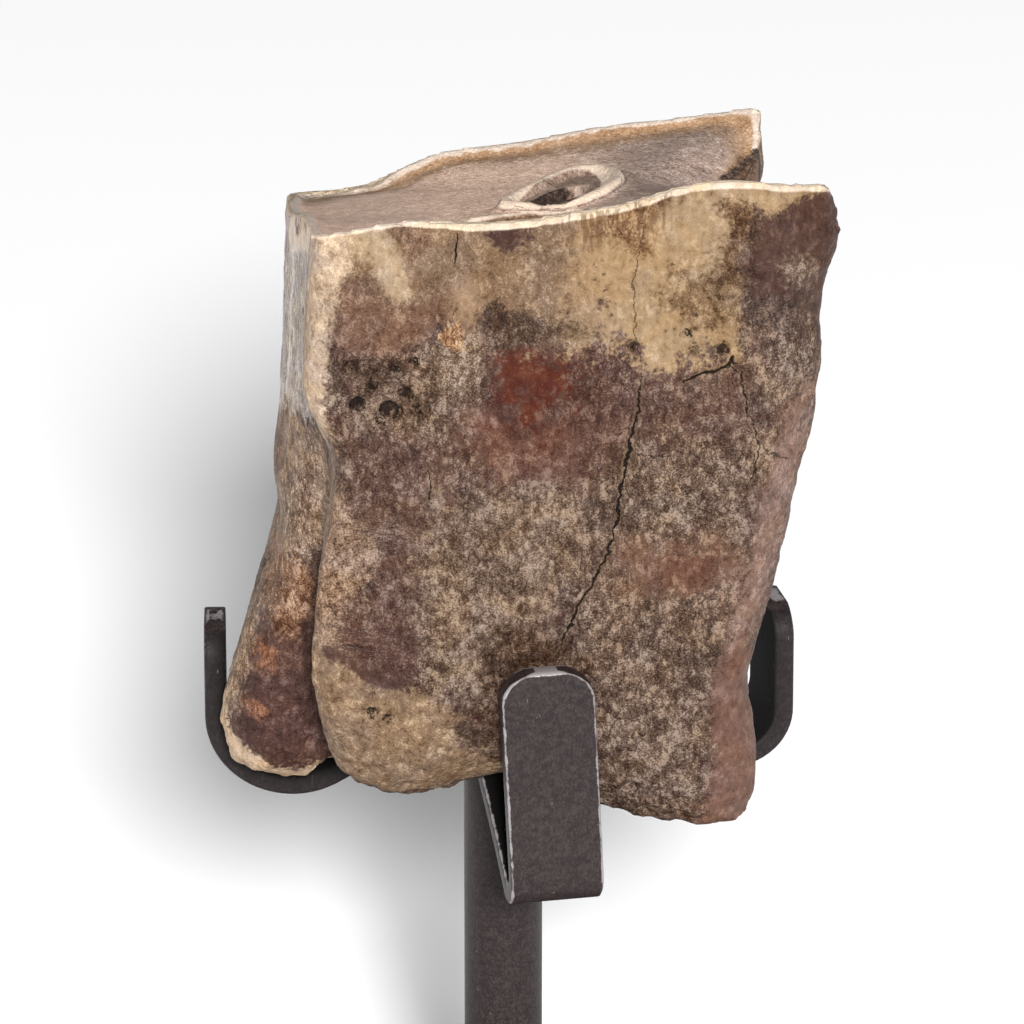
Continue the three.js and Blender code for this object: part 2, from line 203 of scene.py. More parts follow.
def of_vertices(mesh: bpy.types.Mesh, kind: str) -> np.ndarray:
    """The places or the normals of a mesh's vertices.

    Args:
        mesh: The mesh.
        kind: "co" for the places, in metres, or "normal".

    Returns:
        N vectors.
    """
    values = np.empty(len(mesh.vertices) * 3)
    mesh.vertices.foreach_get(kind, values)
    return values.reshape(-1, 3)


def set_attribute(mesh: bpy.types.Mesh, name: str, values: np.ndarray) -> None:
    """Stores a number or a vector for each vertex.

    Args:
        mesh: The mesh.
        name: The attribute's name.
        values: N numbers, or N vectors.
    """
    kind, key = ("FLOAT", "value") if values.ndim == 1 else ("FLOAT_VECTOR", "vector")
    mesh.attributes.new(name, kind, "POINT").data.foreach_set(key, values.astype(np.float32).ravel())


@dataclass
class Graph:
    """Adds nodes to a node tree.  A value may be a number, a colour or another node's socket."""

    tree: bpy.types.NodeTree

    def feed(self, inputs: Any, values: dict[Any, Any]) -> None:
        """Sets or links inputs.

        Args:
            inputs: The inputs of a node.
            values: What each gets, by name or number.
        """
        for key, value in values.items():
            if isinstance(value, Socket):
                self.tree.links.new(value, inputs[key])
            else:
                inputs[key].default_value = value

    def add(self, kind: str, values: dict[Any, Any] | None = None, **settings: Any) -> bpy.types.Node:
        """Adds a node.

        Args:
            kind: Its type.
            values: Its inputs, by name or number.
            **settings: Its own settings.

        Returns:
            The node.
        """
        node = self.tree.nodes.new(kind)
        for key, value in settings.items():
            setattr(node, key, value)
        self.feed(node.inputs, values or {})
        return node

    def get(self, kind: str, values: dict[Any, Any] | None = None, **settings: Any) -> Socket:
        """First output of a new node; its arguments are those of add."""
        return self.add(kind, values, **settings).outputs[0]

    def use(self, group: bpy.types.NodeTree, values: dict[str, Any]) -> Any:
        """Outputs of a shader node group with these inputs."""
        return self.add("ShaderNodeGroup", values, node_tree=group).outputs

    def math(self, operation: str, *values: Any, clamp: bool = False) -> Socket:
        """Result of a sum or a function of up to three numbers.

        Args:
            operation: The Math node's operation.
            *values: Its inputs.
            clamp: Whether the result is kept from 0 to 1.

        Returns:
            The result.
        """
        return self.get("ShaderNodeMath", dict(enumerate(values)), operation=operation, use_clamp=clamp)

    def times(self, first: Any, *others: Any) -> Socket:
        """Product of numbers.

        Args:
            first: The first number.
            *others: The others.

        Returns:
            The product.
        """
        for other in others:
            first = self.math("MULTIPLY", first, other)
        return first

    def plus(self, a: Any, b: Any) -> Socket:
        """Sum of two numbers."""
        return self.math("ADD", a, b)

    def minus(self, a: Any, b: Any) -> Socket:
        """One number less another."""
        return self.math("SUBTRACT", a, b)

    def most(self, a: Any, b: Any) -> Socket:
        """The greater of two numbers."""
        return self.math("MAXIMUM", a, b)

    def times_plus(self, value: Any, factor: Any, extra: Any) -> Socket:
        """A number times a factor, plus another number."""
        return self.math("MULTIPLY_ADD", value, factor, extra)

    def mix(self, share: Any, a: Any, b: Any) -> Socket:
        """Two numbers mixed; share is the second's."""
        return self.get("ShaderNodeMix", {0: share, 2: a, 3: b})

    def vector(self, operation: str, *values: Any) -> Socket:
        """Result of a sum or a function of vectors."""
        return self.get("ShaderNodeVectorMath", dict(enumerate(values)), operation=operation)

    def scaled(self, vector: Socket, scale: Any) -> Socket:
        """A vector multiplied by another, axis by axis, or by a number.

        Args:
            vector: The vector.
            scale: The factors.

        Returns:
            The product.
        """
        factors = scale if isinstance(scale, (tuple, Socket)) else (scale,) * 3
        return self.vector("MULTIPLY", vector, factors)

    def parts(self, vector: Socket) -> Any:
        """The three parts of a vector."""
        return self.add("ShaderNodeSeparateXYZ", {0: vector}).outputs

    def channels(self, colour: Socket) -> Any:
        """The three channels of a colour."""
        return self.add("ShaderNodeSeparateColor", {0: colour}).outputs

    def attribute(self, name: str, output: str = "Fac") -> Socket:
        """An attribute of the mesh, for a shader."""
        return self.add("ShaderNodeAttribute", attribute_name=name).outputs[output]

    def own_place(self) -> Socket:
        """The place on the object, in millimetres, for a shader."""
        return self.scaled(self.add("ShaderNodeTexCoord").outputs["Object"], 1 / MM)

    def ramp(self, value: Any, low: Any, high: Any, start: Any = 0.0, end: Any = 1.0) -> Socket:
        """A value taken smoothly from one range to another.

        Args:
            value: The value.
            low: Where its range starts.
            high: Where its range ends.
            start: Result at low.
            end: Result at high.

        Returns:
            The result.
        """
        values = {"Value": value, "From Min": low, "From Max": high, "To Min": start, "To Max": end}
        return self.get("ShaderNodeMapRange", values, interpolation_type="SMOOTHSTEP")

    def blend(self, share: Any, a: Any, b: Any, mode: str = "MIX") -> Socket:
        """Two colours mixed.

        Args:
            share: Share of the second.
            a: The first.
            b: The second.
            mode: How they mix.

        Returns:
            The colour.
        """
        node = self.add("ShaderNodeMix", {0: share, 6: a, 7: b}, data_type="RGBA", blend_type=mode)
        return node.outputs[2]

    def noise(self, vector: Socket, size: float, detail: float = 3.0, rough: float = 0.55,
              twist: float = 0.0) -> Socket:
        """Cloudy noise.

        Args:
            vector: Place, in millimetres.
            size: Size of its clouds, in millimetres.
            detail: Finer layers.
            rough: Strength of the finer layers.
            twist: How far it is distorted.

        Returns:
            Its strength, around 0.5.
        """
        return self.get("ShaderNodeTexNoise", {
            "Vector": vector, "Scale": 1 / size, "Detail": detail, "Roughness": rough, "Distortion": twist})

    def swayed(self, vector: Socket, reach: Vec, scale: float, detail: float) -> Socket:
        """A place pushed to and fro by noise.

        Args:
            vector: Place, in millimetres.
            reach: How far it is pushed along each axis.
            scale: Scale of the noise.
            detail: Its finer layers.

        Returns:
            The new place.
        """
        sway = self.add("ShaderNodeTexNoise", {"Vector": vector, "Scale": scale, "Detail": detail})
        return self.vector("MULTIPLY_ADD", sway.outputs["Color"], reach, vector)

    def spots(self, vector: Socket, spacing: float, radius: float, share: float) -> Socket:
        """Scattered round spots.

        Args:
            vector: Place, in millimetres.
            spacing: Distance from one place for a spot to the next.
            radius: Radius of a spot, as a share of the spacing.
            share: How many of the places have a spot, from 0 to 1.

        Returns:
            1 inside a spot, 0 outside.
        """
        cells = self.add("ShaderNodeTexVoronoi", {"Vector": vector, "Scale": 1 / spacing}).outputs
        near = self.ramp(cells["Distance"], radius, 0.45 * radius)
        return self.times(near, self.math("LESS_THAN", self.channels(cells["Color"])[0], share))

    def granules(self, vector: Socket, size: float) -> Socket:
        """Packed grains, each with its own strength, fading into the gaps between them.

        Args:
            vector: Place, in millimetres.
            size: Size of a grain, in millimetres.

        Returns:
            Their strength, from 0 to 1.
        """
        cells = self.add("ShaderNodeTexVoronoi", {"Vector": vector, "Scale": 1 / size}).outputs
        dome = self.ramp(cells["Distance"], 0.8, 0.12)
        return self.times_plus(dome, 0.42, self.times(self.channels(cells["Color"])[0], 0.58))

    def dress(self, geometry: Socket, material: Socket) -> None:
        """Ends a geometry tree with smooth faces, real instances and a material.

        Args:
            geometry: The geometry.
            material: Its material.
        """
        smooth = self.get("GeometryNodeSetShadeSmooth", {0: geometry})
        real = self.get("GeometryNodeRealizeInstances", {0: smooth})
        dressed = self.get("GeometryNodeSetMaterial", {"Geometry": real, "Material": material})
        self.add("NodeGroupOutput", {0: dressed})


def shader_group(name: str, inputs: dict[str, Any], outputs: dict[str, str]) -> tuple[Graph, Any]:
    """Starts a shader node group.

    Args:
        name: Its name.
        inputs: Its inputs with their standing values.
        outputs: Its outputs with their kinds.

    Returns:
        Its graph, and the sockets of its inputs inside it.
    """
    tree = bpy.data.node_groups.new(name, "ShaderNodeTree")
    for key, value in inputs.items():
        size = len(value) if isinstance(value, tuple) else 1
        kind = {1: "NodeSocketFloat", 3: "NodeSocketVector", 4: "NodeSocketColor"}[size]
        tree.interface.new_socket(key, in_out="INPUT", socket_type=kind).default_value = value
    for key, kind in outputs.items():
        tree.interface.new_socket(key, in_out="OUTPUT", socket_type=f"NodeSocket{kind}")
    graph = Graph(tree)
    return graph, graph.add("NodeGroupInput").outputs


def geometry_tree(name: str, kinds: dict[str, str]) -> tuple[Graph, Any]:
    """Starts a tree of Geometry Nodes.

    Args:
        name: Its name.
        kinds: Its inputs, after the geometry, with their kinds.

    Returns:
        Its graph, and the sockets of its inputs inside it.
    """
    tree = bpy.data.node_groups.new(name, "GeometryNodeTree")
    for key, kind in ({"Geometry": "Geometry"} | kinds).items():
        tree.interface.new_socket(key, in_out="INPUT", socket_type=f"NodeSocket{kind}")
    tree.interface.new_socket("Geometry", in_out="OUTPUT", socket_type="NodeSocketGeometry")
    graph = Graph(tree)
    return graph, graph.add("NodeGroupInput").outputs


def reshaped(piece: bpy.types.Object, tree: bpy.types.NodeTree, values: dict[str, Any]) -> bpy.types.Mesh:
    """Runs a piece through Geometry Nodes.

    Args:
        piece: The piece.
        tree: The nodes.
        values: The tree's inputs by name.

    Returns:
        The piece's new mesh.
    """
    shaping = piece.modifiers.new(tree.name, "NODES")
    shaping.node_group = tree
    for socket in tree.interface.items_tree:
        if socket.in_out == "INPUT" and socket.name in values:
            shaping[socket.identifier] = values[socket.name]
    return settled(piece)


def new_material(name: str) -> tuple[bpy.types.Material, Graph, Any]:
    """Starts a material.

    Args:
        name: Its name.

    Returns:
        The material, its graph and its shader's inputs.
    """
    material = bpy.data.materials.new(name)
    material.use_nodes = True
    return material, Graph(material.node_tree), material.node_tree.nodes["Principled BSDF"].inputs


# ---- shared surface effects ----


class Effects:
    """The shader node groups that the finishes share."""

    def __init__(self) -> None:
        """Builds the groups."""
        self.grain = self._grain()
        self.layer = self._layer()
        self.edge = self._edge()
        self.crack = self._crack()
        self.wear = self._wear()

    @staticmethod
    def _grain() -> bpy.types.NodeTree:
        """Grains of three tones, round or drawn out upright or level, with their relief."""
        g, given = shader_group("grain", {
            "Place": (0.0, 0.0, 0.0), "Dark": GREY, "Middle": GREY, "Light": GREY, "Contrast": 1.0,
            "Upright": 0.0, "Level": 0.0, "Grit": 1.0, "Size": 1.0}, {"Color": "Color", "Height": "Float"})
        grit = given["Grit"]
        place = g.vector("DIVIDE", given["Place"], given["Size"])
        clouds = g.noise(place, 2.6, 4.0, 0.7, 0.4)
        dust = g.noise(place, 0.16, 0.0)
        bent = g.swayed(place, (0.7, 0.7, 0.7), 1.3, 1.0)
        grains = g.granules(g.scaled(bent, (1.0, 1.0, 0.6)), 0.56)
        upright = g.times_plus(g.noise(g.scaled(place, (1.0, 1.0, 0.2)), 0.5, 2.0), 2.4, -0.7)
        level = g.times_plus(g.noise(g.scaled(place, (0.32, 0.32, 1.0)), 0.42, 2.0), 2.4, -0.7)
        # the height keeps every grain, and the colour softens them where there is less grit
        fine = g.mix(given["Level"], g.mix(given["Upright"], grains, upright), level)
        height = g.times_plus(dust, 0.14, g.times(grit, fine))
        soft = g.times_plus(g.noise(g.scaled(bent, (1.0, 1.0, 0.65)), 0.7, 3.0, 0.6), 2.0, -0.5)
        fine = g.mix(g.times(grit, 0.6), soft, fine)
        speckled = g.times(g.minus(dust, 0.5), g.times_plus(grit, 0.55, 0.3))
        mixed = g.times_plus(clouds, 1.2, g.times_plus(fine, 0.85, speckled))
        average = 1.015
        swing = g.times(g.minus(mixed, average), g.times(given["Contrast"], 1.6))
        tone = g.math("ADD", swing, 0.5, clamp=True)
        low = g.blend(g.ramp(tone, 0.0, 0.52), given["Dark"], given["Middle"])
        colour = g.blend(g.ramp(tone, 0.48, 1.0), low, given["Light"])
        g.add("NodeGroupOutput", {"Color": colour, "Height": height})
        return g.tree

    @staticmethod
    def _layer() -> bpy.types.NodeTree:
        """One finish laid over another where a mask is 1."""
        names = ("Dark", "Middle", "Light", "Traits")
        inputs = {"Mask": 0.0} | {f"{layer} {name}": GREY for name in names for layer in ("Under", "Over")}
        g, given = shader_group("layer", inputs, {name: "Color" for name in names})
        g.add("NodeGroupOutput", {
            name: g.blend(given["Mask"], given[f"Under {name}"], given[f"Over {name}"]) for name in names})
        return g.tree

    @staticmethod
    def _edge() -> bpy.types.NodeTree:
        """Mask of a patch with a ragged edge, from the distance to its outline in millimetres."""
        inputs = {"Distance": 0.0, "Soft": 1.0, "Ragged": 1.0, "Coarse": 0.5, "Fine": 0.5}
        g, given = shader_group("ragged_edge", inputs, {"Mask": "Float"})
        wander = g.plus(g.minus(given["Coarse"], 0.5), g.minus(given["Fine"], 0.5))
        moved = g.times_plus(wander, g.times(given["Ragged"], 4.0), given["Distance"])
        g.add("NodeGroupOutput", {"Mask": g.ramp(moved, g.times(given["Soft"], -1.0), given["Soft"])})
        return g.tree

    @staticmethod
    def _crack() -> bpy.types.NodeTree:
        """Mask of a crack from the signed distance to its line and its half width, with a worn lip."""
        inputs = {"Line": (0.0, 0.0, 0.0), "Wander": 0.5, "Reach": 0.1}
        g, given = shader_group("crack_line", inputs, {"Mask": "Float", "Lip": "Float"})
        signed, half, _ = g.parts(given["Line"])
        shifted = g.times_plus(g.minus(given["Wander"], 0.5), given["Reach"], signed)
        outside = g.minus(g.math("ABSOLUTE", shifted), half)
        lip = g.times(g.ramp(outside, 0.45, 0.05), g.math("GREATER_THAN", half, 0.0))
        g.add("NodeGroupOutput", {"Mask": g.ramp(outside, 0.03, -0.05), "Lip": lip})
        return g.tree

    @staticmethod
    def _wear() -> bpy.types.NodeTree:
        """Patchy wear along edges, and fine scratches and dust on the faces between them."""
        inputs = {"Place": (0.0, 0.0, 0.0), "Edge": 0.0, "Amount": 0.5}
        names = ("Worn", "Dust", "Scratch")
        g, given = shader_group("wear_and_dust", inputs, {name: "Float" for name in names})
        patchy = g.noise(given["Place"], 1.6, 5.0, 0.7, 0.6)
        level = g.plus(g.times(patchy, 1.3), given["Amount"])
        flecks = g.spots(given["Place"], 1.5, 0.1, 0.35)
        streaks = g.spots(g.scaled(given["Place"], (1.0, 1.0, 0.3)), 1.1, 0.09, 0.3)
        lines = g.noise(g.scaled(given["Place"], (1.0, 1.0, 0.08)), 0.35, 2.0, 0.5)
        g.add("NodeGroupOutput", {
            "Worn": g.ramp(g.plus(level, given["Edge"]), 1.75, 2.0), "Dust": g.most(flecks, streaks),
            "Scratch": g.ramp(lines, 0.66, 0.74)})
        return g.tree


# ---- finishes of the fossil ----


@dataclass(frozen=True)
class Tone:
    """How one kind of surface of the fossil looks.

    Attributes:
        dark: Colour of its darkest grains.
        middle: Colour between them.
        light: Colour of its lightest grains.
        roughness: Its roughness.
        contrast: How strongly its grains stand out, from 0 to 1.
        lit: How much the light brightens the places where it is.
    """

    dark: Colour
    middle: Colour
    light: Colour
    roughness: float = 0.62
    contrast: float = 0.8
    lit: float = LIT

    def colours(self) -> dict[str, Rgba]:
        """Its three colours, and its roughness and contrast as a fourth."""
        spread = {}
        for name, end in (("Dark", self.dark), ("Middle", self.middle), ("Light", self.light)):
            step = (1 - OWN_HUE) * (sum(end) - sum(self.middle)) / 3
            far = (m + ENDS * (OWN_HUE * (e - m) + step) for e, m in zip(end, self.middle))
            spread[name] = albedo(tuple(min(252.0, max(8.0, c)) for c in far), self.lit)
        return spread | {"Traits": (self.roughness, self.contrast, 0.0, 1.0)}


class Tones(Enum):
    """The kinds of surface that the fossil shows."""

    CEMENT = Tone((76, 55, 47), (112, 89, 78), (162, 138, 122), 0.62, 0.9)
    TAN_CEMENT = Tone((82, 60, 49), (122, 99, 85), (172, 147, 129), 0.66, 0.95)
    PALE_CEMENT = Tone((94, 71, 57), (138, 114, 97), (180, 156, 138), 0.66, 0.9)
    MAROON = Tone((80, 52, 43), (111, 83, 72), (154, 129, 115), 0.55, 0.85)
    PURPLE = Tone((72, 47, 39), (94, 67, 58), (128, 98, 88), 0.5, 0.6)
    PURPLE_TOP = Tone((72, 46, 38), (88, 60, 52), (112, 84, 75), 0.5, 0.7)
    DEEP_MAROON = Tone((82, 53, 44), (102, 72, 62), (136, 106, 94), 0.52, 0.9)
    LOW_RED = Tone((110, 76, 64), (136, 101, 88), (164, 131, 118), 0.52, 0.6)
    REDDISH = Tone((102, 70, 55), (131, 98, 81), (164, 133, 115), 0.56, 0.8)
    UMBER = Tone((112, 80, 57), (141, 108, 86), (170, 140, 116), 0.56, 0.8)
    RED_BROWN = Tone((92, 56, 44), (118, 81, 68), (150, 118, 104), 0.5, 0.8)
    RUST = Tone((80, 24, 8), (95, 37, 14), (112, 56, 34), 0.62, 0.7)
    BLACKISH = Tone((58, 38, 27), (92, 68, 54), (138, 114, 98), 0.6, 0.8)
    POROUS = Tone((76, 55, 42), (118, 94, 79), (164, 139, 121), 0.7, 0.85)
    GREY_GRAIN = Tone((92, 69, 53), (134, 110, 93), (184, 161, 143), 0.7, 0.95)
    CREAM = Tone((152, 120, 88), (190, 159, 124), (220, 192, 159), 0.58, 0.5)
    TAN_CREAM = Tone((136, 106, 78), (178, 147, 116), (212, 184, 154), 0.52, 0.55)
    SCALLOP = Tone((166, 137, 108), (202, 175, 146), (232, 208, 182), 0.56, 0.6)
    DULL_CREAM = Tone((118, 90, 68), (150, 121, 97), (192, 164, 138), 0.6, 0.7)
    OLIVE_CREAM = Tone((96, 70, 44), (143, 114, 86), (184, 155, 124), 0.56, 0.9)
    OLIVE = Tone((88, 63, 40), (120, 94, 69), (152, 124, 99), 0.55, 0.8)
    EDGE_CREAM = Tone((146, 124, 106), (188, 166, 147), (222, 198, 173), 0.6, 0.7, 1.65)
    ROOT_TAN = Tone((114, 89, 71), (160, 132, 109), (208, 180, 152), 0.66, 0.65)
    HIND_TAN = Tone((114, 88, 71), (160, 133, 114), (206, 180, 157), 0.68, 0.9, 2.0)
    POROUS_CREAM = Tone((120, 100, 86), (190, 170, 155), (232, 214, 200), 0.6, 1.0, 1.1)
    PINK_TAN = Tone((148, 118, 95), (172, 142, 118), (196, 164, 140), 0.6, 0.6)
    ORANGE = Tone((128, 86, 56), (178, 134, 98), (222, 186, 150), 0.6, 0.9)
    OCHRE = Tone((100, 66, 44), (142, 106, 82), (184, 150, 124), 0.6, 0.9, 1.8)
    HIND_RUST = Tone((104, 66, 48), (138, 94, 72), (170, 126, 104), 0.5, 0.9, 1.75)
    LILAC = Tone((110, 84, 76), (137, 110, 100), (167, 140, 130), 0.6, 0.7, 1.65)
    ROOT_EDGE = Tone((96, 69, 57), (150, 123, 104), (186, 158, 139), 0.6, 0.8, 1.9)
    GLASSY = Tone((122, 110, 104), (158, 147, 141), (198, 186, 180), 0.4, 1.0, 1.1)
    HIND_DARK = Tone((70, 42, 36), (96, 66, 59), (134, 102, 91), 0.5, 0.7)
    DARK_CEMENT = Tone((64, 48, 41), (96, 76, 67), (138, 117, 105), 0.6, 0.85)
    HIND_CREAM = Tone((150, 122, 95), (203, 176, 149), (230, 204, 180), 0.6, 0.5, 1.6)
    DENTINE = Tone((136, 110, 95), (178, 151, 134), (208, 182, 164), 0.55, 0.5, 0.72)
    GREY_DENTINE = Tone((122, 102, 92), (166, 144, 132), (200, 178, 166), 0.55, 0.6, 1.3)
    FAR_WALL = Tone((128, 98, 74), (166, 137, 112), (200, 172, 148), 0.55, 0.5, 1.4)
    FAR_BROWN = Tone((134, 98, 68), (172, 137, 106), (204, 172, 144), 0.55, 0.5, 1.2)
    RIM_TAN = Tone((176, 150, 128), (206, 188, 172), (236, 224, 212), 0.5, 0.4, 1.1)
    ENAMEL_END = Tone((186, 160, 134), (226, 205, 181), (244, 230, 212), 0.5, 0.4, 1.65)
    LOOP = Tone((172, 148, 128), (212, 191, 171), (238, 222, 205), 0.42, 0.3, 1.1)
    # painted highlight along edges of the left wall
    EDGE_HIGHLIGHT = Tone((184, 170, 160), (208, 196, 188), (230, 220, 212), 0.4, 0.3, 1.1)
    DARK_STAIN = Tone((84, 57, 36), (118, 86, 60), (150, 116, 84), 0.5, 0.9)
    STAIN = Tone((110, 76, 48), (152, 115, 83), (190, 154, 117), 0.5, 0.9)
    # painted shade for the hole in the loop and the notch in the right wall
    PAINTED_HOLLOW_SHADE = Tone((36, 28, 23), (56, 44, 38), (86, 70, 60), 0.7, 0.8, 0.9)


# how gritty the finishes are that aren't gritty all over
GRIT = {
    Tones.CREAM: 0.15, Tones.SCALLOP: 0.2, Tones.RUST: 0.2, Tones.PURPLE: 0.3, Tones.PURPLE_TOP: 0.2,
    Tones.PINK_TAN: 0.4, Tones.EDGE_CREAM: 0.45, Tones.GLASSY: 0.7, Tones.RIM_TAN: 0.3, Tones.RED_BROWN: 0.5,
    Tones.REDDISH: 0.6, Tones.LILAC: 0.6, Tones.MAROON: 0.8, Tones.TAN_CREAM: 0.35, Tones.DULL_CREAM: 0.6,
    Tones.HIND_DARK: 0.6, Tones.HIND_CREAM: 0.4, Tones.OLIVE_CREAM: 0.3, Tones.LOW_RED: 0.4,
    Tones.ROOT_TAN: 0.6,
}


@dataclass(frozen=True)
class Face:
    """A part of the tooth's surface.  Axis 0 is x, 1 is y and 2 is z.

    Attributes:
        axes: The two axes of the outlines drawn on it.
        bounds: Its bounds: an axis, and where along it patches start to show and show in full.
    """

    axes: tuple[int, int]
    bounds: tuple[tuple[int, float, float], ...]

    def gate(self, places: np.ndarray) -> np.ndarray:
        """1 where its patches may be, 0 elsewhere."""
        return np.prod([smoothstep(low, high, places[:, axis]) for axis, low, high in self.bounds], axis=0)


class Side(Enum):
    """The parts of the tooth on which patches are drawn."""

    NEAR = Face((0, 2), ((1, -17.5, -20.5),))
    HIND = Face((0, 2), ((1, -20.5, -18.0), (0, -13.0, -14.5)))
    LEFT = Face((1, 2), ((0, -14.0, -16.0), (1, -23.5, -21.5)))


@dataclass(frozen=True)
class Patch:
    """An area of the tooth with its own finish.

    Attributes:
        name: Its name.
        tone: Its finish.
        outline: Its corners, on its side's two axes.
        side: The part of the tooth that it is on.
        soft: Half the width of its edge's fade.
        ragged: How far its edge wanders.
    """

    name: str
    tone: Tones
    outline: tuple[Point, ...]
    side: Side = Side.NEAR
    soft: float = 0.8
    ragged: float = 1.0


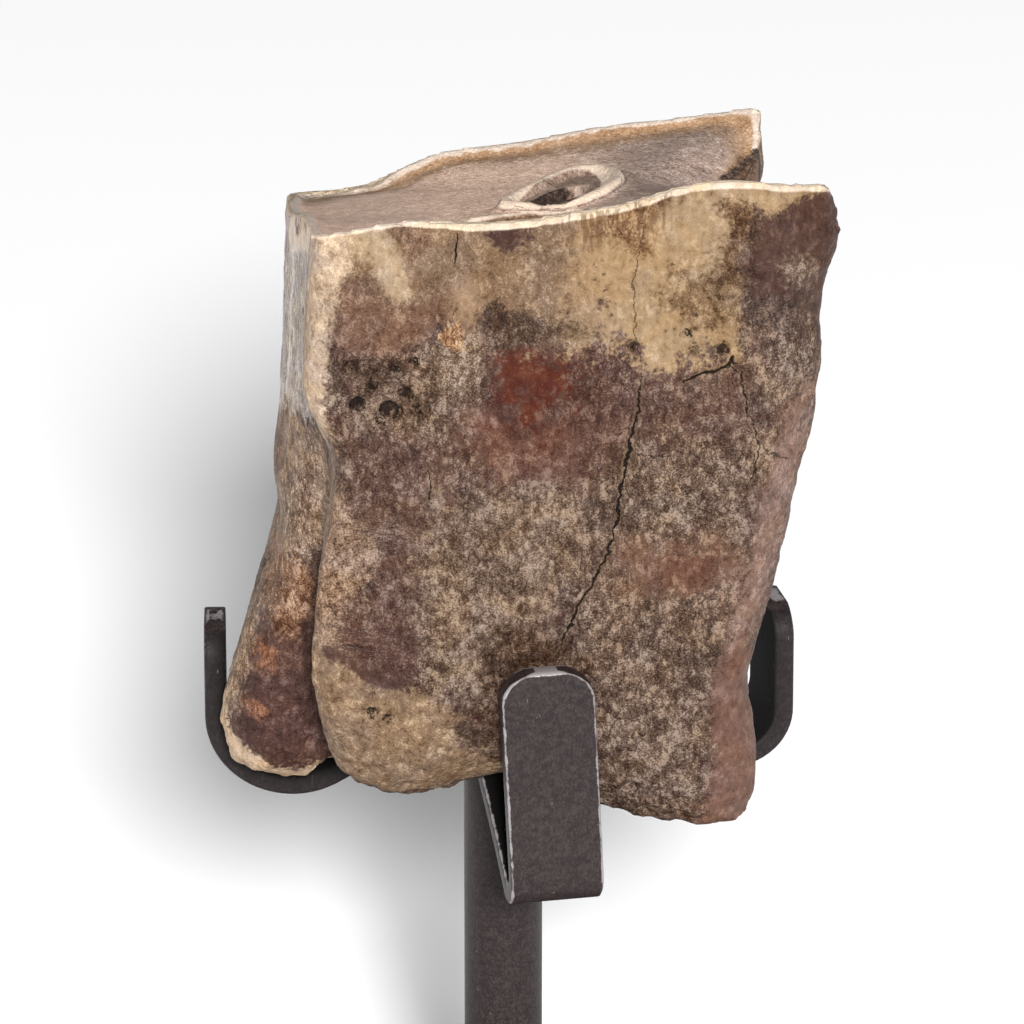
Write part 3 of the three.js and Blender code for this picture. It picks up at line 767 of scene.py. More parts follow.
PATCHES = (
    Patch("maroon_field", Tones.MAROON, (
        (-4, 56), (9.2, 58.6), (13.1, 55.4), (22.8, 55.8), (23.4, 50), (21.7, 46.1), (15, 45), (9.3, 43),
        (1, 42.5), (-6, 44), (-14.6, 47.5), (-14, 42), (-5.5, 39.5), (-5, 49)), soft=1.6, ragged=2.6),
    Patch("maroon_core", Tones.DEEP_MAROON, (
        (-2.4, 58), (9.4, 58.6), (12.4, 55), (12.6, 48), (9.8, 44.6), (4, 43), (-1.6, 46.6), (-2.8, 52)),
        soft=2.0, ragged=2.6),
    Patch("dark_mottle", Tones.MAROON, (
        (-14.6, 48.1), (-5, 48.4), (-4.8, 41.8), (-7, 35.4), (-7.5, 26.9), (-9, 21.5), (-12.9, 22.1),
        (-15.6, 25), (-15.4, 30.5), (-12.6, 32.6), (-11.6, 36.5), (-14, 39.6), (-15.2, 43)),
        soft=1.0, ragged=1.8),
    Patch("root_dark", Tones.DEEP_MAROON, (
        (-15.8, 28), (-9.6, 29.4), (-8.6, 22.6), (-12.6, 22.4), (-15.4, 24.6)), soft=1.2, ragged=2.0),
    Patch("tan_lower", Tones.PALE_CEMENT, (
        (-7.4, 39.1), (2, 43.4), (5.6, 44), (6.4, 35.4), (3.6, 27), (1.7, 20.7), (-3.2, 19.7), (-7, 24.9)),
        soft=1.6, ragged=2.2),
    Patch("tan_right", Tones.TAN_CEMENT, (
        (10.9, 47), (20, 47.6), (22.4, 43), (21, 37.6), (11.4, 37.2), (8.6, 33), (6, 26), (7.5, 15),
        (14, 9), (20, 9), (19.6, 25), (20.2, 32), (11, 33.6)), soft=1.8, ragged=2.6),
    Patch("reddish_band", Tones.REDDISH, (
        (11.4, 36.8), (17.1, 37.2), (22.4, 37), (23.6, 33.6), (17.1, 31.6), (12.4, 32.8)),
        soft=1.3, ragged=1.6),
    Patch("rust_spots", Tones.RED_BROWN, (
        (15.2, 35.6), (20.1, 35.6), (19.6, 33.3), (15.6, 33.2)), soft=1.2, ragged=1.6),
    Patch("right_strip", Tones.LILAC, (
        (28.1, 62.6), (31, 62.6), (31, 58), (30.4, 52.3), (29.2, 48.1), (28.4, 41.8), (27.2, 35.4),
        (26, 31.2), (25, 26.9), (22.3, 26.9), (23, 32.2), (24.7, 39.7), (26.3, 48.1), (27.3, 54.4)),
        soft=1.4, ragged=1),
    Patch("low_right_red", Tones.LOW_RED, (
        (20.5, 21.5), (22.8, 26.7), (25.4, 20.4), (26, 13.8), (25.6, 4), (20.1, 4), (20.6, 13.8)),
        soft=0.7, ragged=0.6),
    Patch("rust_low", Tones.RED_BROWN, (
        (-3.1, 52.3), (0.2, 51), (5.5, 50.2), (7.9, 49.2), (6.6, 45.5), (3.6, 44), (-0.2, 44.8),
        (-2.3, 47.1)), soft=1.6, ragged=1.6),
    Patch("rust", Tones.RUST, (
        (-0.9, 57.6), (1.2, 58.3), (3.8, 57.8), (5.6, 56.4), (6.2, 54.2), (5.8, 52.4), (4.2, 51.6),
        (3.2, 49.6), (1.2, 50.2), (0.2, 52.6), (-0.8, 54.8)), soft=2.0, ragged=2.4),
    Patch("edge_cream", Tones.EDGE_CREAM, (
        (-19, 69.5), (-14, 70), (-14.6, 66.5), (-15.1, 64.2), (-15.8, 60.8), (-16.4, 57.3), (-16.9, 52.3),
        (-16.7, 47.1), (-17.2, 43), (-19.5, 46), (-20, 52.8), (-19.5, 60)), soft=0.6, ragged=0.6),
    Patch("cream_left", Tones.TAN_CREAM, (
        (3, 71.8), (9.6, 73), (10.5, 66), (10.9, 58.9), (8.3, 58.6), (6.4, 57.9), (4.8, 59.2), (2.6, 63)),
        soft=1.4, ragged=2.2),
    Patch("main_cream", Tones.CREAM, (
        (7.6, 72.6), (9.6, 73), (14.3, 75), (19, 77), (24.2, 77), (33, 77), (32, 71), (25, 69.6),
        (23.4, 69), (22.4, 66.5), (22.8, 62.6), (22.7, 58), (22.4, 56.6), (20.5, 56.8), (17.8, 56),
        (15, 55.5), (13.2, 55.8), (12.1, 57.4), (10.9, 58.9), (9.6, 60.4), (8.6, 63.6), (7.8, 68)),
        soft=0.8, ragged=1.3),
    Patch("greyed_band", Tones.DULL_CREAM, (
        (-11, 71), (5.4, 72), (5.1, 59.6), (4, 57.3), (1.7, 59.6), (-3.1, 59.6), (-5.9, 60.6), (-8.6, 62),
        (-12, 64)), soft=1.4, ragged=2.0),
    Patch("scallop", Tones.SCALLOP, (
        (-14.6, 70), (-11, 70.7), (-10, 68), (-9.2, 65.7), (-8.8, 62.9), (-10.1, 61.9), (-11.2, 63.7),
        (-12.3, 65.9), (-13.6, 67)), soft=0.5, ragged=0.5),
    Patch("cream_mottle", Tones.OLIVE_CREAM, (
        (15.4, 64.6), (19.4, 66), (22.2, 66.4), (22.6, 60), (20, 58.2), (16.4, 60)), soft=1.5, ragged=1.6),
    Patch("flute_brown", Tones.STAIN, (
        (9, 70.6), (14.2, 72.8), (16.6, 73.4), (13.8, 70), (12.4, 67.4), (10.6, 68.4), (8.4, 69)),
        soft=1.2, ragged=1.2),
    Patch("pillar_stain", Tones.DARK_STAIN, (
        (20.6, 72.4), (23.8, 71.4), (23.2, 69), (22.4, 65.4), (20.8, 66.6), (21.4, 70)),
        soft=0.8, ragged=1),
    Patch("under_rim_a", Tones.UMBER, (
        (-10.8, 70), (-6.4, 70.4), (-7, 68.3), (-8.5, 66.5), (-9.3, 68.2)), soft=0.7, ragged=0.9),
    Patch("under_rim_b", Tones.PURPLE_TOP, (
        (-1.2, 70), (2.8, 70), (2.4, 68.6), (0.7, 67.8), (-0.6, 68.4)), soft=0.5, ragged=0.6),
    Patch("pink_blotch", Tones.PINK_TAN, (
        (-4.8, 63.9), (-3.1, 64.3), (-1.9, 63.1), (-2.1, 60.8), (-3.5, 59.6), (-4.8, 60.6)),
        soft=0.9, ragged=0.8),
    Patch("purple_field", Tones.REDDISH, (
        (-15.4, 62.6), (-14.2, 64.5), (-12.7, 64.3), (-11.4, 62.6), (-9.7, 62), (-6.9, 62.6), (-5.5, 63.7),
        (-5.3, 62), (-6.3, 59.6), (-7.8, 58), (-9.7, 57.5), (-12.4, 56.9), (-14.5, 57.3), (-16, 58)),
        soft=0.7, ragged=0.8),
    Patch("grey_grain", Tones.GREY_GRAIN, (
        (-8.8, 57.3), (-5.9, 58.3), (-2.1, 58.5), (-1.4, 55.6), (-2.3, 52.5), (-5, 51.9), (-7.9, 53.1),
        (-9.2, 55)), soft=0.9, ragged=1.2),
    Patch("green_band", Tones.BLACKISH, (
        (-15.6, 56), (-12.4, 56.6), (-9.4, 56.4), (-9, 55.2), (-11.6, 54.4), (-14.3, 54.2), (-15.6, 55)),
        soft=0.6, ragged=1),
    Patch("porous", Tones.POROUS, (
        (-14.7, 54), (-12.4, 54.8), (-8.8, 54.6), (-6.9, 53.5), (-6.5, 51), (-7.5, 49.2), (-10.2, 48.9),
        (-13, 49.4), (-14.5, 51)), soft=0.8, ragged=1),
    Patch("orange_spot", Tones.ORANGE, (
        (-5.9, 59.8), (-4.4, 60.4), (-3.8, 59.3), (-4.2, 57.9), (-5.4, 57.9), (-6.1, 58.7)),
        soft=0.35, ragged=0.5),
    Patch("green_spot", Tones.BLACKISH, (
        (-1.7, 62), (-0.2, 62.3), (0.1, 61), (-0.8, 60.4), (-1.8, 60.8)), soft=0.5, ragged=0.6),
    # purple-black band above the rust, which also paints the shadow under the ledge there
    Patch("over_rust", Tones.BLACKISH, (
        (-2, 60.9), (1.7, 61), (4.8, 60.4), (5.6, 59.3), (4.2, 58), (0.9, 57.6), (-1.4, 57.8)),
        soft=0.5, ragged=0.6),
    Patch("olive", Tones.OLIVE, ((4.5, 60), (7.2, 60.2), (7.3, 59.1), (5.5, 58.8)), soft=0.8, ragged=0.8),
    Patch("pillar", Tones.PURPLE, (
        (23.9, 70.6), (26.6, 71), (29.2, 72.1), (31, 72.3), (33.6, 70.6), (33.2, 67.8), (31.6, 65.2),
        (31.2, 62.6), (31.4, 58), (29.7, 54.4), (27.3, 53.8), (24.5, 55.4), (23.4, 58), (24.2, 61),
        (22.9, 64), (22.5, 66.5), (23.8, 69)), soft=0.35, ragged=0.5),
    Patch("pillar_top", Tones.PURPLE_TOP, (
        (26, 70.9), (29.2, 72.2), (31.2, 72.4), (32.6, 71.2), (31.6, 69.6), (27.6, 69.4)),
        soft=0.5, ragged=0.5),
    Patch("pillar_line", Tones.BLACKISH, (
        (23.7, 71.2), (24.4, 71.4), (23.9, 66.2), (23.2, 60), (23.5, 57), (22.9, 56.8), (22.5, 60),
        (23.1, 66)), soft=0.3, ragged=0.4),
    Patch("pillar_grey", Tones.DARK_CEMENT, (
        (23.9, 62.1), (28.3, 62.6), (28.8, 57), (25.4, 56.5)), soft=1.2, ragged=1.4),
    Patch("pillar_low", Tones.TAN_CEMENT, (
        (24.8, 57.8), (29.8, 58.4), (29.6, 53), (25.4, 52.4)), soft=1.2, ragged=1.8),
    Patch("pillar_tan", Tones.PALE_CEMENT, (
        (26.2, 65.5), (29.2, 65.9), (29.5, 63.7), (27.2, 63.3)), soft=0.7, ragged=0.9),
    Patch("root_edge", Tones.ROOT_EDGE, (
        (-17.5, 47), (-15.9, 43.5), (-15, 39.8), (-12.6, 36.6), (-12.9, 33.4), (-15.5, 31.5), (-16.2, 28),
        (-16.8, 25.2), (-19.5, 25.8), (-19.5, 36), (-18, 42)), soft=0.7, ragged=1.0),
    Patch("root_tan", Tones.ROOT_TAN, (
        (-20, 25.4), (-15, 24.3), (-12.3, 21.9), (-9.8, 21.5), (-6.1, 20.4), (-4, 18.2), (-0.3, 15.5),
        (2, 6), (-20, 4)), soft=0.6, ragged=1),
    Patch("maroon_line", Tones.PURPLE, (
        (-17, 26.1), (-14.8, 25.3), (-12.4, 23.1), (-9.8, 22.5), (-9.8, 21.3), (-12.4, 21.5), (-15, 23.6),
        (-17.1, 24.9)), soft=0.35, ragged=0.45),
    Patch("dark_by_claw", Tones.DARK_CEMENT, (
        (-4.4, 17.6), (1.4, 17), (1.4, 13.4), (-3.2, 14.2)), soft=1, ragged=1.2),
    # painted shadow of the front claw on the tooth's near face
    Patch("claw_shadow_painted", Tones.BLACKISH, (
        (-2.4, 25.6), (0.6, 28), (6.2, 27.6), (8.6, 24), (4, 22), (1.4, 12), (-0.8, 13), (-1.4, 19)),
        soft=1.3, ragged=1.2),
    Patch("hind_tan", Tones.HIND_TAN, (
        (-26, 44.8), (-19.8, 45.4), (-14, 43.8), (-14, 33), (-17.5, 31), (-19.5, 28.8), (-24, 27)),
        side=Side.HIND, soft=1, ragged=1.6),
    Patch("hind_dark", Tones.HIND_DARK, (
        (-27, 18.9), (-23.8, 22.7), (-14, 25), (-14, 13.4), (-14, 3), (-20.3, 4), (-23.3, 5.6),
        (-26.2, 8.4), (-27.5, 13.4)), side=Side.HIND, soft=0.9, ragged=1.5),
    Patch("hind_orange", Tones.OCHRE, (
        (-23.2, 28.5), (-19, 29), (-18.6, 24), (-20.6, 22), (-22.8, 22.4)),
        side=Side.HIND, soft=1, ragged=0.9),
    Patch("hind_rust", Tones.HIND_RUST, (
        (-24.9, 19.8), (-23, 20), (-22.8, 17.9), (-24.7, 17.5)), side=Side.HIND, soft=0.7, ragged=0.7),
    Patch("hind_rust_low", Tones.HIND_RUST, (
        (-25.6, 13.6), (-23.9, 14), (-23.5, 12.3), (-25.2, 11.7)), side=Side.HIND, soft=0.6, ragged=0.7),
    Patch("hind_fringe", Tones.HIND_TAN, (
        (-26, 25), (-24.4, 24.4), (-25, 19), (-25.7, 15.4), (-26.5, 12.6), (-27.2, 11.2), (-28.4, 11),
        (-28.2, 16), (-27.5, 21)), side=Side.HIND, soft=0.6, ragged=0.8),
    Patch("hind_border", Tones.HIND_CREAM, (
        (-27.7, 13), (-27.4, 11.4), (-27, 9.8), (-26.2, 8.5), (-24.8, 7.6), (-23.8, 6.9), (-23, 6.1),
        (-21.8, 5.6), (-20.3, 5.5), (-18.8, 6.5), (-18, 7), (-17, 6), (-18, 3.2), (-24, 3), (-27, 5),
        (-28.8, 9), (-28.8, 13)), side=Side.HIND, soft=0.35, ragged=0.5),
    Patch("glassy_facet", Tones.GLASSY, (
        (-24.5, 68.5), (-23, 70), (-10, 70), (16, 64), (16, 40), (-2, 41), (-8, 43.6), (-14, 45.4),
        (-18.4, 48), (-20.4, 60)), side=Side.LEFT, soft=1.0, ragged=1.1),
    Patch("ledge", Tones.RIM_TAN, (
        (-6, 60.6), (-7.4, 66), (-16, 71), (-24, 70.5), (-24.4, 67.4), (-16, 63.6), (-9, 61)),
        side=Side.LEFT, soft=0.3, ragged=0.2),
    # painted highlight along the left wall's back edge
    Patch("left_edge_highlight", Tones.EDGE_HIGHLIGHT, (
        (-9.3, 66), (-8.8, 63.5), (-8.3, 58), (-8.4, 52), (-7.8, 44), (-8.3, 44), (-9, 52), (-8.9, 58),
        (-9.5, 63.5)), side=Side.LEFT, soft=0.25, ragged=0.3),
    Patch("pitted_ledge", Tones.POROUS_CREAM, (
        (-9, 64.8), (-10, 62.8), (-16, 65.4), (-22.8, 68), (-22, 70), (-13, 66.8)),
        side=Side.LEFT, soft=0.3, ragged=0.5),
    Patch("ledge_pit", Tones.DARK_STAIN, (
        (-11.6, 64.5), (-9.9, 63.8), (-9.8, 62.4), (-11.5, 63)), side=Side.LEFT, soft=0.3, ragged=0.5),
    # painted highlight along the ledge's edge
    Patch("ledge_edge_highlight", Tones.EDGE_HIGHLIGHT, (
        (-7.6, 60), (-10.4, 61.1), (-14.4, 62.8), (-22.7, 66.3), (-25, 67.1), (-25, 68), (-22.7, 67.1),
        (-14.4, 63.6), (-10.4, 61.9), (-7.6, 60.8)), side=Side.LEFT, soft=0.25, ragged=0.3),
)


@dataclass(frozen=True)
class Nudge:
    """A small push of the tooth's surface.

    Attributes:
        place: Its middle.
        reach: How far from there it is felt.
        push: How far the surface moves.
    """

    place: Vec
    reach: float
    push: Vec


@dataclass(frozen=True)
class Crack:
    """A crack of the near face.

    Attributes:
        line: Its points, x and z.
        width: Its greatest width.
    """

    line: tuple[Point, ...]
    width: float


CRACKS = (
    Crack(((13.2, 55.5), (12.9, 51), (12.1, 47.2), (11.4, 43.5), (11.1, 40.5), (10.4, 37), (9.2, 34),
           (7.4, 30.8), (6.4, 28), (5, 24.8)), 0.28),
    Crack(((21.6, 55.5), (22.6, 54.9), (23, 53.4), (23.4, 50.8), (24.3, 48.6), (24.5, 46.2),
           (23.6, 43.2)), 0.14),
    # painted shade under the step at the cream patch's lower edge, carved and darkened like a crack
    Crack(((17, 54), (18.8, 54.7), (20.5, 55.1), (21.7, 55.9), (22, 56.7)), 0.34),
    Crack(((-4.2, 69.3), (-4.3, 68), (-4.5, 66)), 0.2),
    Crack(((-7.1, 45.2), (-6.9, 43.4), (-7.2, 41.6)), 0.16),
)
HAIRLINES = (
    Crack(((12.1, 47), (13.6, 46.6), (15, 46.4), (16.4, 46.5)), 0.16),
    Crack(((24.4, 48), (25.3, 46.4), (26.4, 45.9), (27.8, 45)), 0.16),
    Crack(((13.6, 70.5), (13, 67.8), (12.3, 63.5), (12.6, 59), (13.2, 55.4)), 0.1),
    Crack(((-4.3, 62.2), (-4.7, 60.4), (-4.9, 58.8)), 0.12),
)
# x, z and radius of each pore
PORES = (
    (-13.8, 51.6, 0.62), (-10.9, 50.9, 0.85), (-12.4, 53.5, 0.42), (-9.3, 52.8, 0.55), (-8.3, 51.2, 0.42),
    (-11.7, 49.7, 0.4), (-14.5, 55.9, 0.4), (-10.2, 55.2, 0.45), (-12.8, 18.5, 0.5), (-11.2, 17.6, 0.45),
    (12.6, 57.8, 0.42), (17.4, 58.9, 0.3), (20.9, 57.1, 0.55), (18.2, 57.2, 0.3), (-8.4, 56.3, 0.35),
)


# ---- the tooth ----


@dataclass
class Tooth:
    """The tooth: its surface, relief and finish.

    Attributes:
        voxel: Size of the steps of its fine surface.
        rim_width: Width of the worn enamel rim.
        floor: The worn floor: its height on the axis and its slopes along x and y.
        centre: Middle of the chewing surface.
        crown: Seat height from which the wall may belong to the rim.
        fossette: Outline of the closed enamel loop.
        hollow: Outline of the dentine inside the loop.
        notch: Outline of the chip in the right wall, painted dark as shade.
        pit: Outline of the hole in the loop, painted dark as its shade.
        lens: Outline of the enamel fold beside the near rim.
        nudges: Small pushes of its surface.
        streaks: Patches with level streaks: x and z of the middle, half width and half height.
        swell: Height and spacing of the broad swellings.
        lump: Height and spacing of the lumps.
        pits: Depth and spacing of the small pits.
        crack_depth: Depth of the cracks.
        pore_depth: Depth of the pores.
        smoothing: Rounds of smoothing of the wall, and of the rim and the loops.
    """

    voxel: float = 0.44
    rim_width: float = 1.15
    floor: Vec = (62.9, 0.12, -0.165)
    centre: Point = (3.5, -4.5)
    crown: float = 54.0
    fossette: tuple[Point, ...] = (
        (-0.4, -6.8), (2.2, -1), (5.6, 4), (8.8, 5.2), (11.2, 2.2), (11.6, -2.4), (9.2, -6.6), (4.4, -7.6))
    hollow: tuple[Point, ...] = (
        (1.2, -6.1), (3, -1.4), (5.9, 3), (8.2, 4), (9.4, 1.8), (9.5, -2.4), (8, -5.8), (4.6, -6.9))
    notch: tuple[Point, ...] = ((21.4, 5.4), (25.2, 10.2), (27.2, 10), (27.2, 4.6))
    pit: tuple[Point, ...] = (
        (2.6, -6.6), (3.6, -3.4), (5.2, -1.6), (7, -1.2), (8, -2.6), (7.8, -6), (5.6, -7.2))
    lens: tuple[Point, ...] = (
        (-8.4, -15.8), (-4.4, -13), (1.4, -11.6), (6.6, -12), (9.4, -14), (4.8, -15.4), (-1.6, -16.4))
    nudges: tuple[Nudge, ...] = (
        Nudge((25.2, 14.6, 65.0), 3.6, (0.6, 0.3, 0.6)), Nudge((25.6, 12.0, 61.0), 4.0, (0.5, 0.2, 0.0)),
        Nudge((31.8, -21.8, 68.4), 2.0, (-0.3, 0.0, 0.0)), Nudge((5.4, -7.7, 65.2), 7.0, (0.0, 0.0, -0.9)),
        Nudge((-21.5, -10.8, 3.5), 14.0, (0.0, 0.0, 1.2)), Nudge((-17.4, -10.8, 4.0), 6.0, (0.0, 0.0, 1.7)))
    streaks: tuple[tuple[float, ...], ...] = ((-10.9, 37.7, 3.6, 2.0), (-13.6, 25.9, 3.2, 1.8))
    swell: Point = (0.35, 7.0)
    lump: Point = (0.24, 1.7)
    pits: Point = (0.3, 1.5)
    crack_depth: float = 0.34
    pore_depth: float = 0.9
    smoothing: tuple[int, int] = (36, 3)
    piece: bpy.types.Object | None = field(default=None, repr=False)

    def build(self, effects: Effects) -> list[bpy.types.Object]:
        """Builds and dresses the tooth.

        Args:
            effects: The shared shader groups.

        Returns:
            The finished piece.
        """
        self.piece = self._fine_surface()
        self._measure()
        self._carve(self._material(effects))
        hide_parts("tooth")
        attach(self.piece, "root")
        return [self.piece]

    def _fine_surface(self) -> bpy.types.Object:
        """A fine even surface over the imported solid."""
        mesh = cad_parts["tooth"].data.copy()
        mesh.materials.clear()
        with edited(mesh) as shell:
            bmesh.ops.remove_doubles(shell, verts=shell.verts, dist=1e-6)
        piece = new_object("fossil_tooth", mesh)
        remesh = piece.modifiers.new("fine", "REMESH")
        remesh.mode = "VOXEL"
        remesh.voxel_size = self.voxel * MM
        settled(piece)
        return piece

    def _heights(self, places: np.ndarray) -> np.ndarray:
        """Height over the worn floor, in millimetres."""
        level, x_slope, y_slope = self.floor
        return places[:, 2] - (level + x_slope * places[:, 0] + y_slope * places[:, 1])

    def _rim(self, places: np.ndarray) -> tuple[np.ndarray, np.ndarray]:
        """Distance inside the rim and depth under it, going round the chewing surface.

        Args:
            places: The vertices, in seat millimetres.

        Returns:
            The distances, positive inside, and the depths.
        """
        step = 2
        sectors = 360 // step
        outermost, crest_height = 0.86, 0.35
        away = places[:, :2] - self.centre
        radius = np.linalg.norm(away, axis=1)
        degrees = np.degrees(np.arctan2(away[:, 1], away[:, 0])) % 360
        sector = (degrees / step).astype(int) % sectors
        high = places[:, 2] > self.crown
        reach = np.zeros(sectors)
        np.maximum.at(reach, sector[high], radius[high])
        outer = high & (radius > outermost * reach[sector])
        top = np.zeros(sectors)
        np.maximum.at(top, sector[outer], places[outer, 2])
        crest = outer & (places[:, 2] > top[sector] - crest_height)
        count = np.maximum(np.bincount(sector[crest], minlength=sectors), 1)
        ring = np.bincount(sector[crest], radius[crest], minlength=sectors) / count + 0.5 * self.rim_width
        middle = (np.arange(sectors) + 0.5) * step
        return (np.interp(degrees, middle, ring, period=360) - radius,
                np.interp(degrees, middle, top, period=360) - places[:, 2])

    def _line(self, places: np.ndarray, cracks: Sequence[Crack], hidden: np.ndarray) -> np.ndarray:
        """Signed distance to the nearest crack and its half width there.

        Args:
            places: The vertices, in seat millimetres.
            cracks: The cracks.
            hidden: Where there are none.

        Returns:
            N vectors: distance, half width and zero.
        """
        farthest, no_crack, past_end = 1.3, -1, -0.3
        flat = places[:, [0, 2]]
        best = np.full(len(flat), np.inf)
        result = np.zeros((len(flat), 3))
        result[:, 1] = no_crack
        for crack in cracks:
            line = np.asarray(crack.line, float)
            for i, (a, b) in enumerate(zip(line[:-1], line[1:])):
                edge = b - a
                length = np.linalg.norm(edge)
                away = flat - a
                along = away @ edge / length**2
                near = np.clip(along, 0, 1)
                distance = np.linalg.norm(away - near[:, None] * edge, axis=1)
                side = (away[:, 0] * edge[1] - away[:, 1] * edge[0]) / length
                share = (i + near) / (len(line) - 1)
                half = crack.width / 2 * np.minimum(1, 0.3 + 6 * share * (1 - share))
                ends = ((i == 0) & (along < 0)) | ((i == len(line) - 2) & (along > 1))
                nearer = distance < best
                best = np.where(nearer, distance, best)
                half = np.where(ends, past_end, half)
                values = np.stack([np.sign(side) * distance, half, 0 * half], axis=1)
                result[nearer] = values[nearer]
        result[(best > farthest) | hidden, 1] = no_crack
        return result

    def _measure(self) -> None:
        """Smooths the surface and stores on it where each thing is."""
        mesh = self.piece.data
        places = of_vertices(mesh, "co") / MM - (0, 0, SEAT)
        inside, depth = self._rim(places)
        heights = self._heights(places)
        flat = places[:, :2]
        marks = {name: outline_distance(flat, rounded(getattr(self, name)))
                 for name in ("fossette", "lens", "pit", "hollow")}
        loops = np.maximum(marks["fossette"], marks["lens"])
        # the rim, the loops and the fold stay sharp while the wall is evened out
        on_loops = smoothstep(-1.2, -0.2, loops) * smoothstep(-6, -4, heights)
        near_rim = smoothstep(2.4, 0.9, depth) * smoothstep(2.6, 1.2, inside)
        wall = (1 - on_loops) * (1 - near_rim)
        places = self._smoothed(mesh, places, wall)
        for nudge in self.nudges:
            near = np.exp(-(((places - nudge.place) ** 2).sum(axis=1)) / (nudge.reach / 2) ** 2)
            places = places + near[:, None] * nudge.push
        mesh.vertices.foreach_set("co", ((places + (0, 0, SEAT)) * MM).ravel())
        mesh.update()

        facing = of_vertices(mesh, "normal")
        outward = flat - self.centre
        outward /= np.linalg.norm(outward, axis=1)[:, None]
        leaning = (facing[:, :2] * outward).sum(axis=1)
        inner = (leaning < 0.3) | (facing[:, 2] > 0.65)
        chewing = np.where(inner & (heights > -7) & (depth < 14), inside, -2.0)
        x, y, z = places.T
        high = z > self.crown + 1
        on_near = Side.NEAR.value.gate(places)
        grit, facet = self._lay_patches(mesh, places)
        level = np.zeros(len(places))
        for at, height, reach, spread in self.streaks:
            level = np.maximum(level, np.exp(-((x - at) / reach) ** 2 - ((z - height) / spread) ** 2))
        pore = np.full(len(places), NO_MARK)
        for at, height, radius in PORES:
            pore = np.maximum(pore, radius - np.hypot(x - at, z - height))
        chipped = 1 + 2.2 * smoothstep(11, 6, z)
        broken = smoothstep(20.5, 21.5, x) * smoothstep(9.6, 9.0, y) * smoothstep(-22.5, -21, y)
        below = smoothstep(5.5, 2.5, depth) * smoothstep(4.5, 6.5, x) * smoothstep(17.5, 15, x)
        near_part = smoothstep(-11, -15, y)
        hidden = inner | (y > -18)
        marks |= {
            "grit": grit,
            "relief": wall * (0.35 + 0.65 * (chewing < 0)) * chipped,
            "inside": inside,
            "depth": depth,
            "chewing": chewing,
            "outer_top": np.where(inner, 6.0, depth),
            "notch": np.where(high, outline_distance(flat, self.notch), NO_MARK),
            "broken_side": broken * high * (inner | (depth < 1)),
            "floor_height": heights,
            "crest_width": 0.32 + near_part * (1.1 * smoothstep(-13, -3, x) - 0.35),
            "rim_depth": 0.45 + 0.25 * near_part * smoothstep(-12, 0, x),
            "right_floor": smoothstep(3, 15, x),
            "far_side": smoothstep(2, 9, y),
            "level": level * on_near,
            "upright": np.where(chewing > 0, 0.0, 0.9 * facet),
            "flutes": below * on_near * (chewing < 0),
            "cracks": self._line(places, CRACKS, hidden),
            "hairlines": self._line(places, HAIRLINES, hidden),
            "pore": np.where(y < -18, pore, NO_MARK),
        }
        for name, values in marks.items():
            set_attribute(mesh, name, values)

    @staticmethod
    def _lay_patches(mesh: bpy.types.Mesh, places: np.ndarray) -> tuple[np.ndarray, np.ndarray]:
        """Stores the distance to each patch's outline.

        Args:
            mesh: The fine mesh.
            places: Its vertices, in seat millimetres.

        Returns:
            How gritty the surface is, and 1 where it is the glassy facet.
        """
        gates = {side: side.value.gate(places) for side in Side}
        grit = np.ones(len(places))
        facet = np.zeros(len(places))
        for patch in PATCHES:
            gate = gates[patch.side]
            distance = outline_distance(places[:, patch.side.value.axes], rounded(patch.outline))
            distance = np.where(gate > 0, distance, NO_PATCH) * gate + NO_PATCH * (1 - gate)
            set_attribute(mesh, patch.name, distance)
            inner_part = smoothstep(-1, 1, distance)
            grit = grit * (1 - inner_part) + GRIT.get(patch.tone, 1.0) * inner_part
            if patch.tone is Tones.GLASSY:
                facet = inner_part
        return grit, facet

    def _smoothed(self, mesh: bpy.types.Mesh, places: np.ndarray, wall: np.ndarray) -> np.ndarray:
        """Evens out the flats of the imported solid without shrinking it.

        Args:
            mesh: The fine mesh.
            places: Its vertices, in seat millimetres.
            wall: 1 where the surface is wall, 0 on rim and loops.

        Returns:
            The new places.
        """
        pairs = np.empty(len(mesh.edges) * 2, int)
        mesh.edges.foreach_get("vertices", pairs)
        a, b = pairs.reshape(-1, 2).T
        n = len(places)
        degree = np.bincount(a, minlength=n) + np.bincount(b, minlength=n)
        on_wall, on_rim = self.smoothing
        inwards, outwards = 0.55, -0.565
        for turn in range(on_wall):
            for step in (inwards, outwards):
                total = np.stack([
                    np.bincount(a, places[b, axis], n) + np.bincount(b, places[a, axis], n)
                    for axis in range(3)], axis=1)
                share = step * np.where(turn < on_rim, 1.0, wall)
                places = places + share[:, None] * (total / degree[:, None] - places)
        return places

    def _carve(self, material: bpy.types.Material) -> None:
        """Carves the relief with Geometry Nodes and keeps the result.

        Args:
            material: The fossil's material.
        """
        sizes = {
            "Swell Height": self.swell[0], "Swell Spacing": self.swell[1], "Lump Height": self.lump[0],
            "Lump Spacing": self.lump[1], "Pit Depth": self.pits[0], "Pit Spacing": self.pits[1],
            "Crack Depth": self.crack_depth, "Pore Depth": self.pore_depth, "Seed": float(SEED),
        }
        g, given = geometry_tree("fossil_relief", {key: "Float" for key in sizes} | {"Finish": "Material"})
        place = g.scaled(g.get("GeometryNodeInputPosition"), 1 / MM)

        def stored(name: str, kind: str = "FLOAT") -> Socket:
            """An attribute of the tooth."""
            return g.get("GeometryNodeInputNamedAttribute", {0: name}, data_type=kind)

        def cloud(spacing: Socket, shift: float, detail: float) -> Socket:
            """Noise of a given spacing, from -0.5 to 0.5."""
            values = {"Vector": place, "W": g.plus(given["Seed"], shift),
                      "Scale": g.math("DIVIDE", 1.0, spacing), "Detail": detail}
            return g.minus(g.get("ShaderNodeTexNoise", values, noise_dimensions="4D"), 0.5)

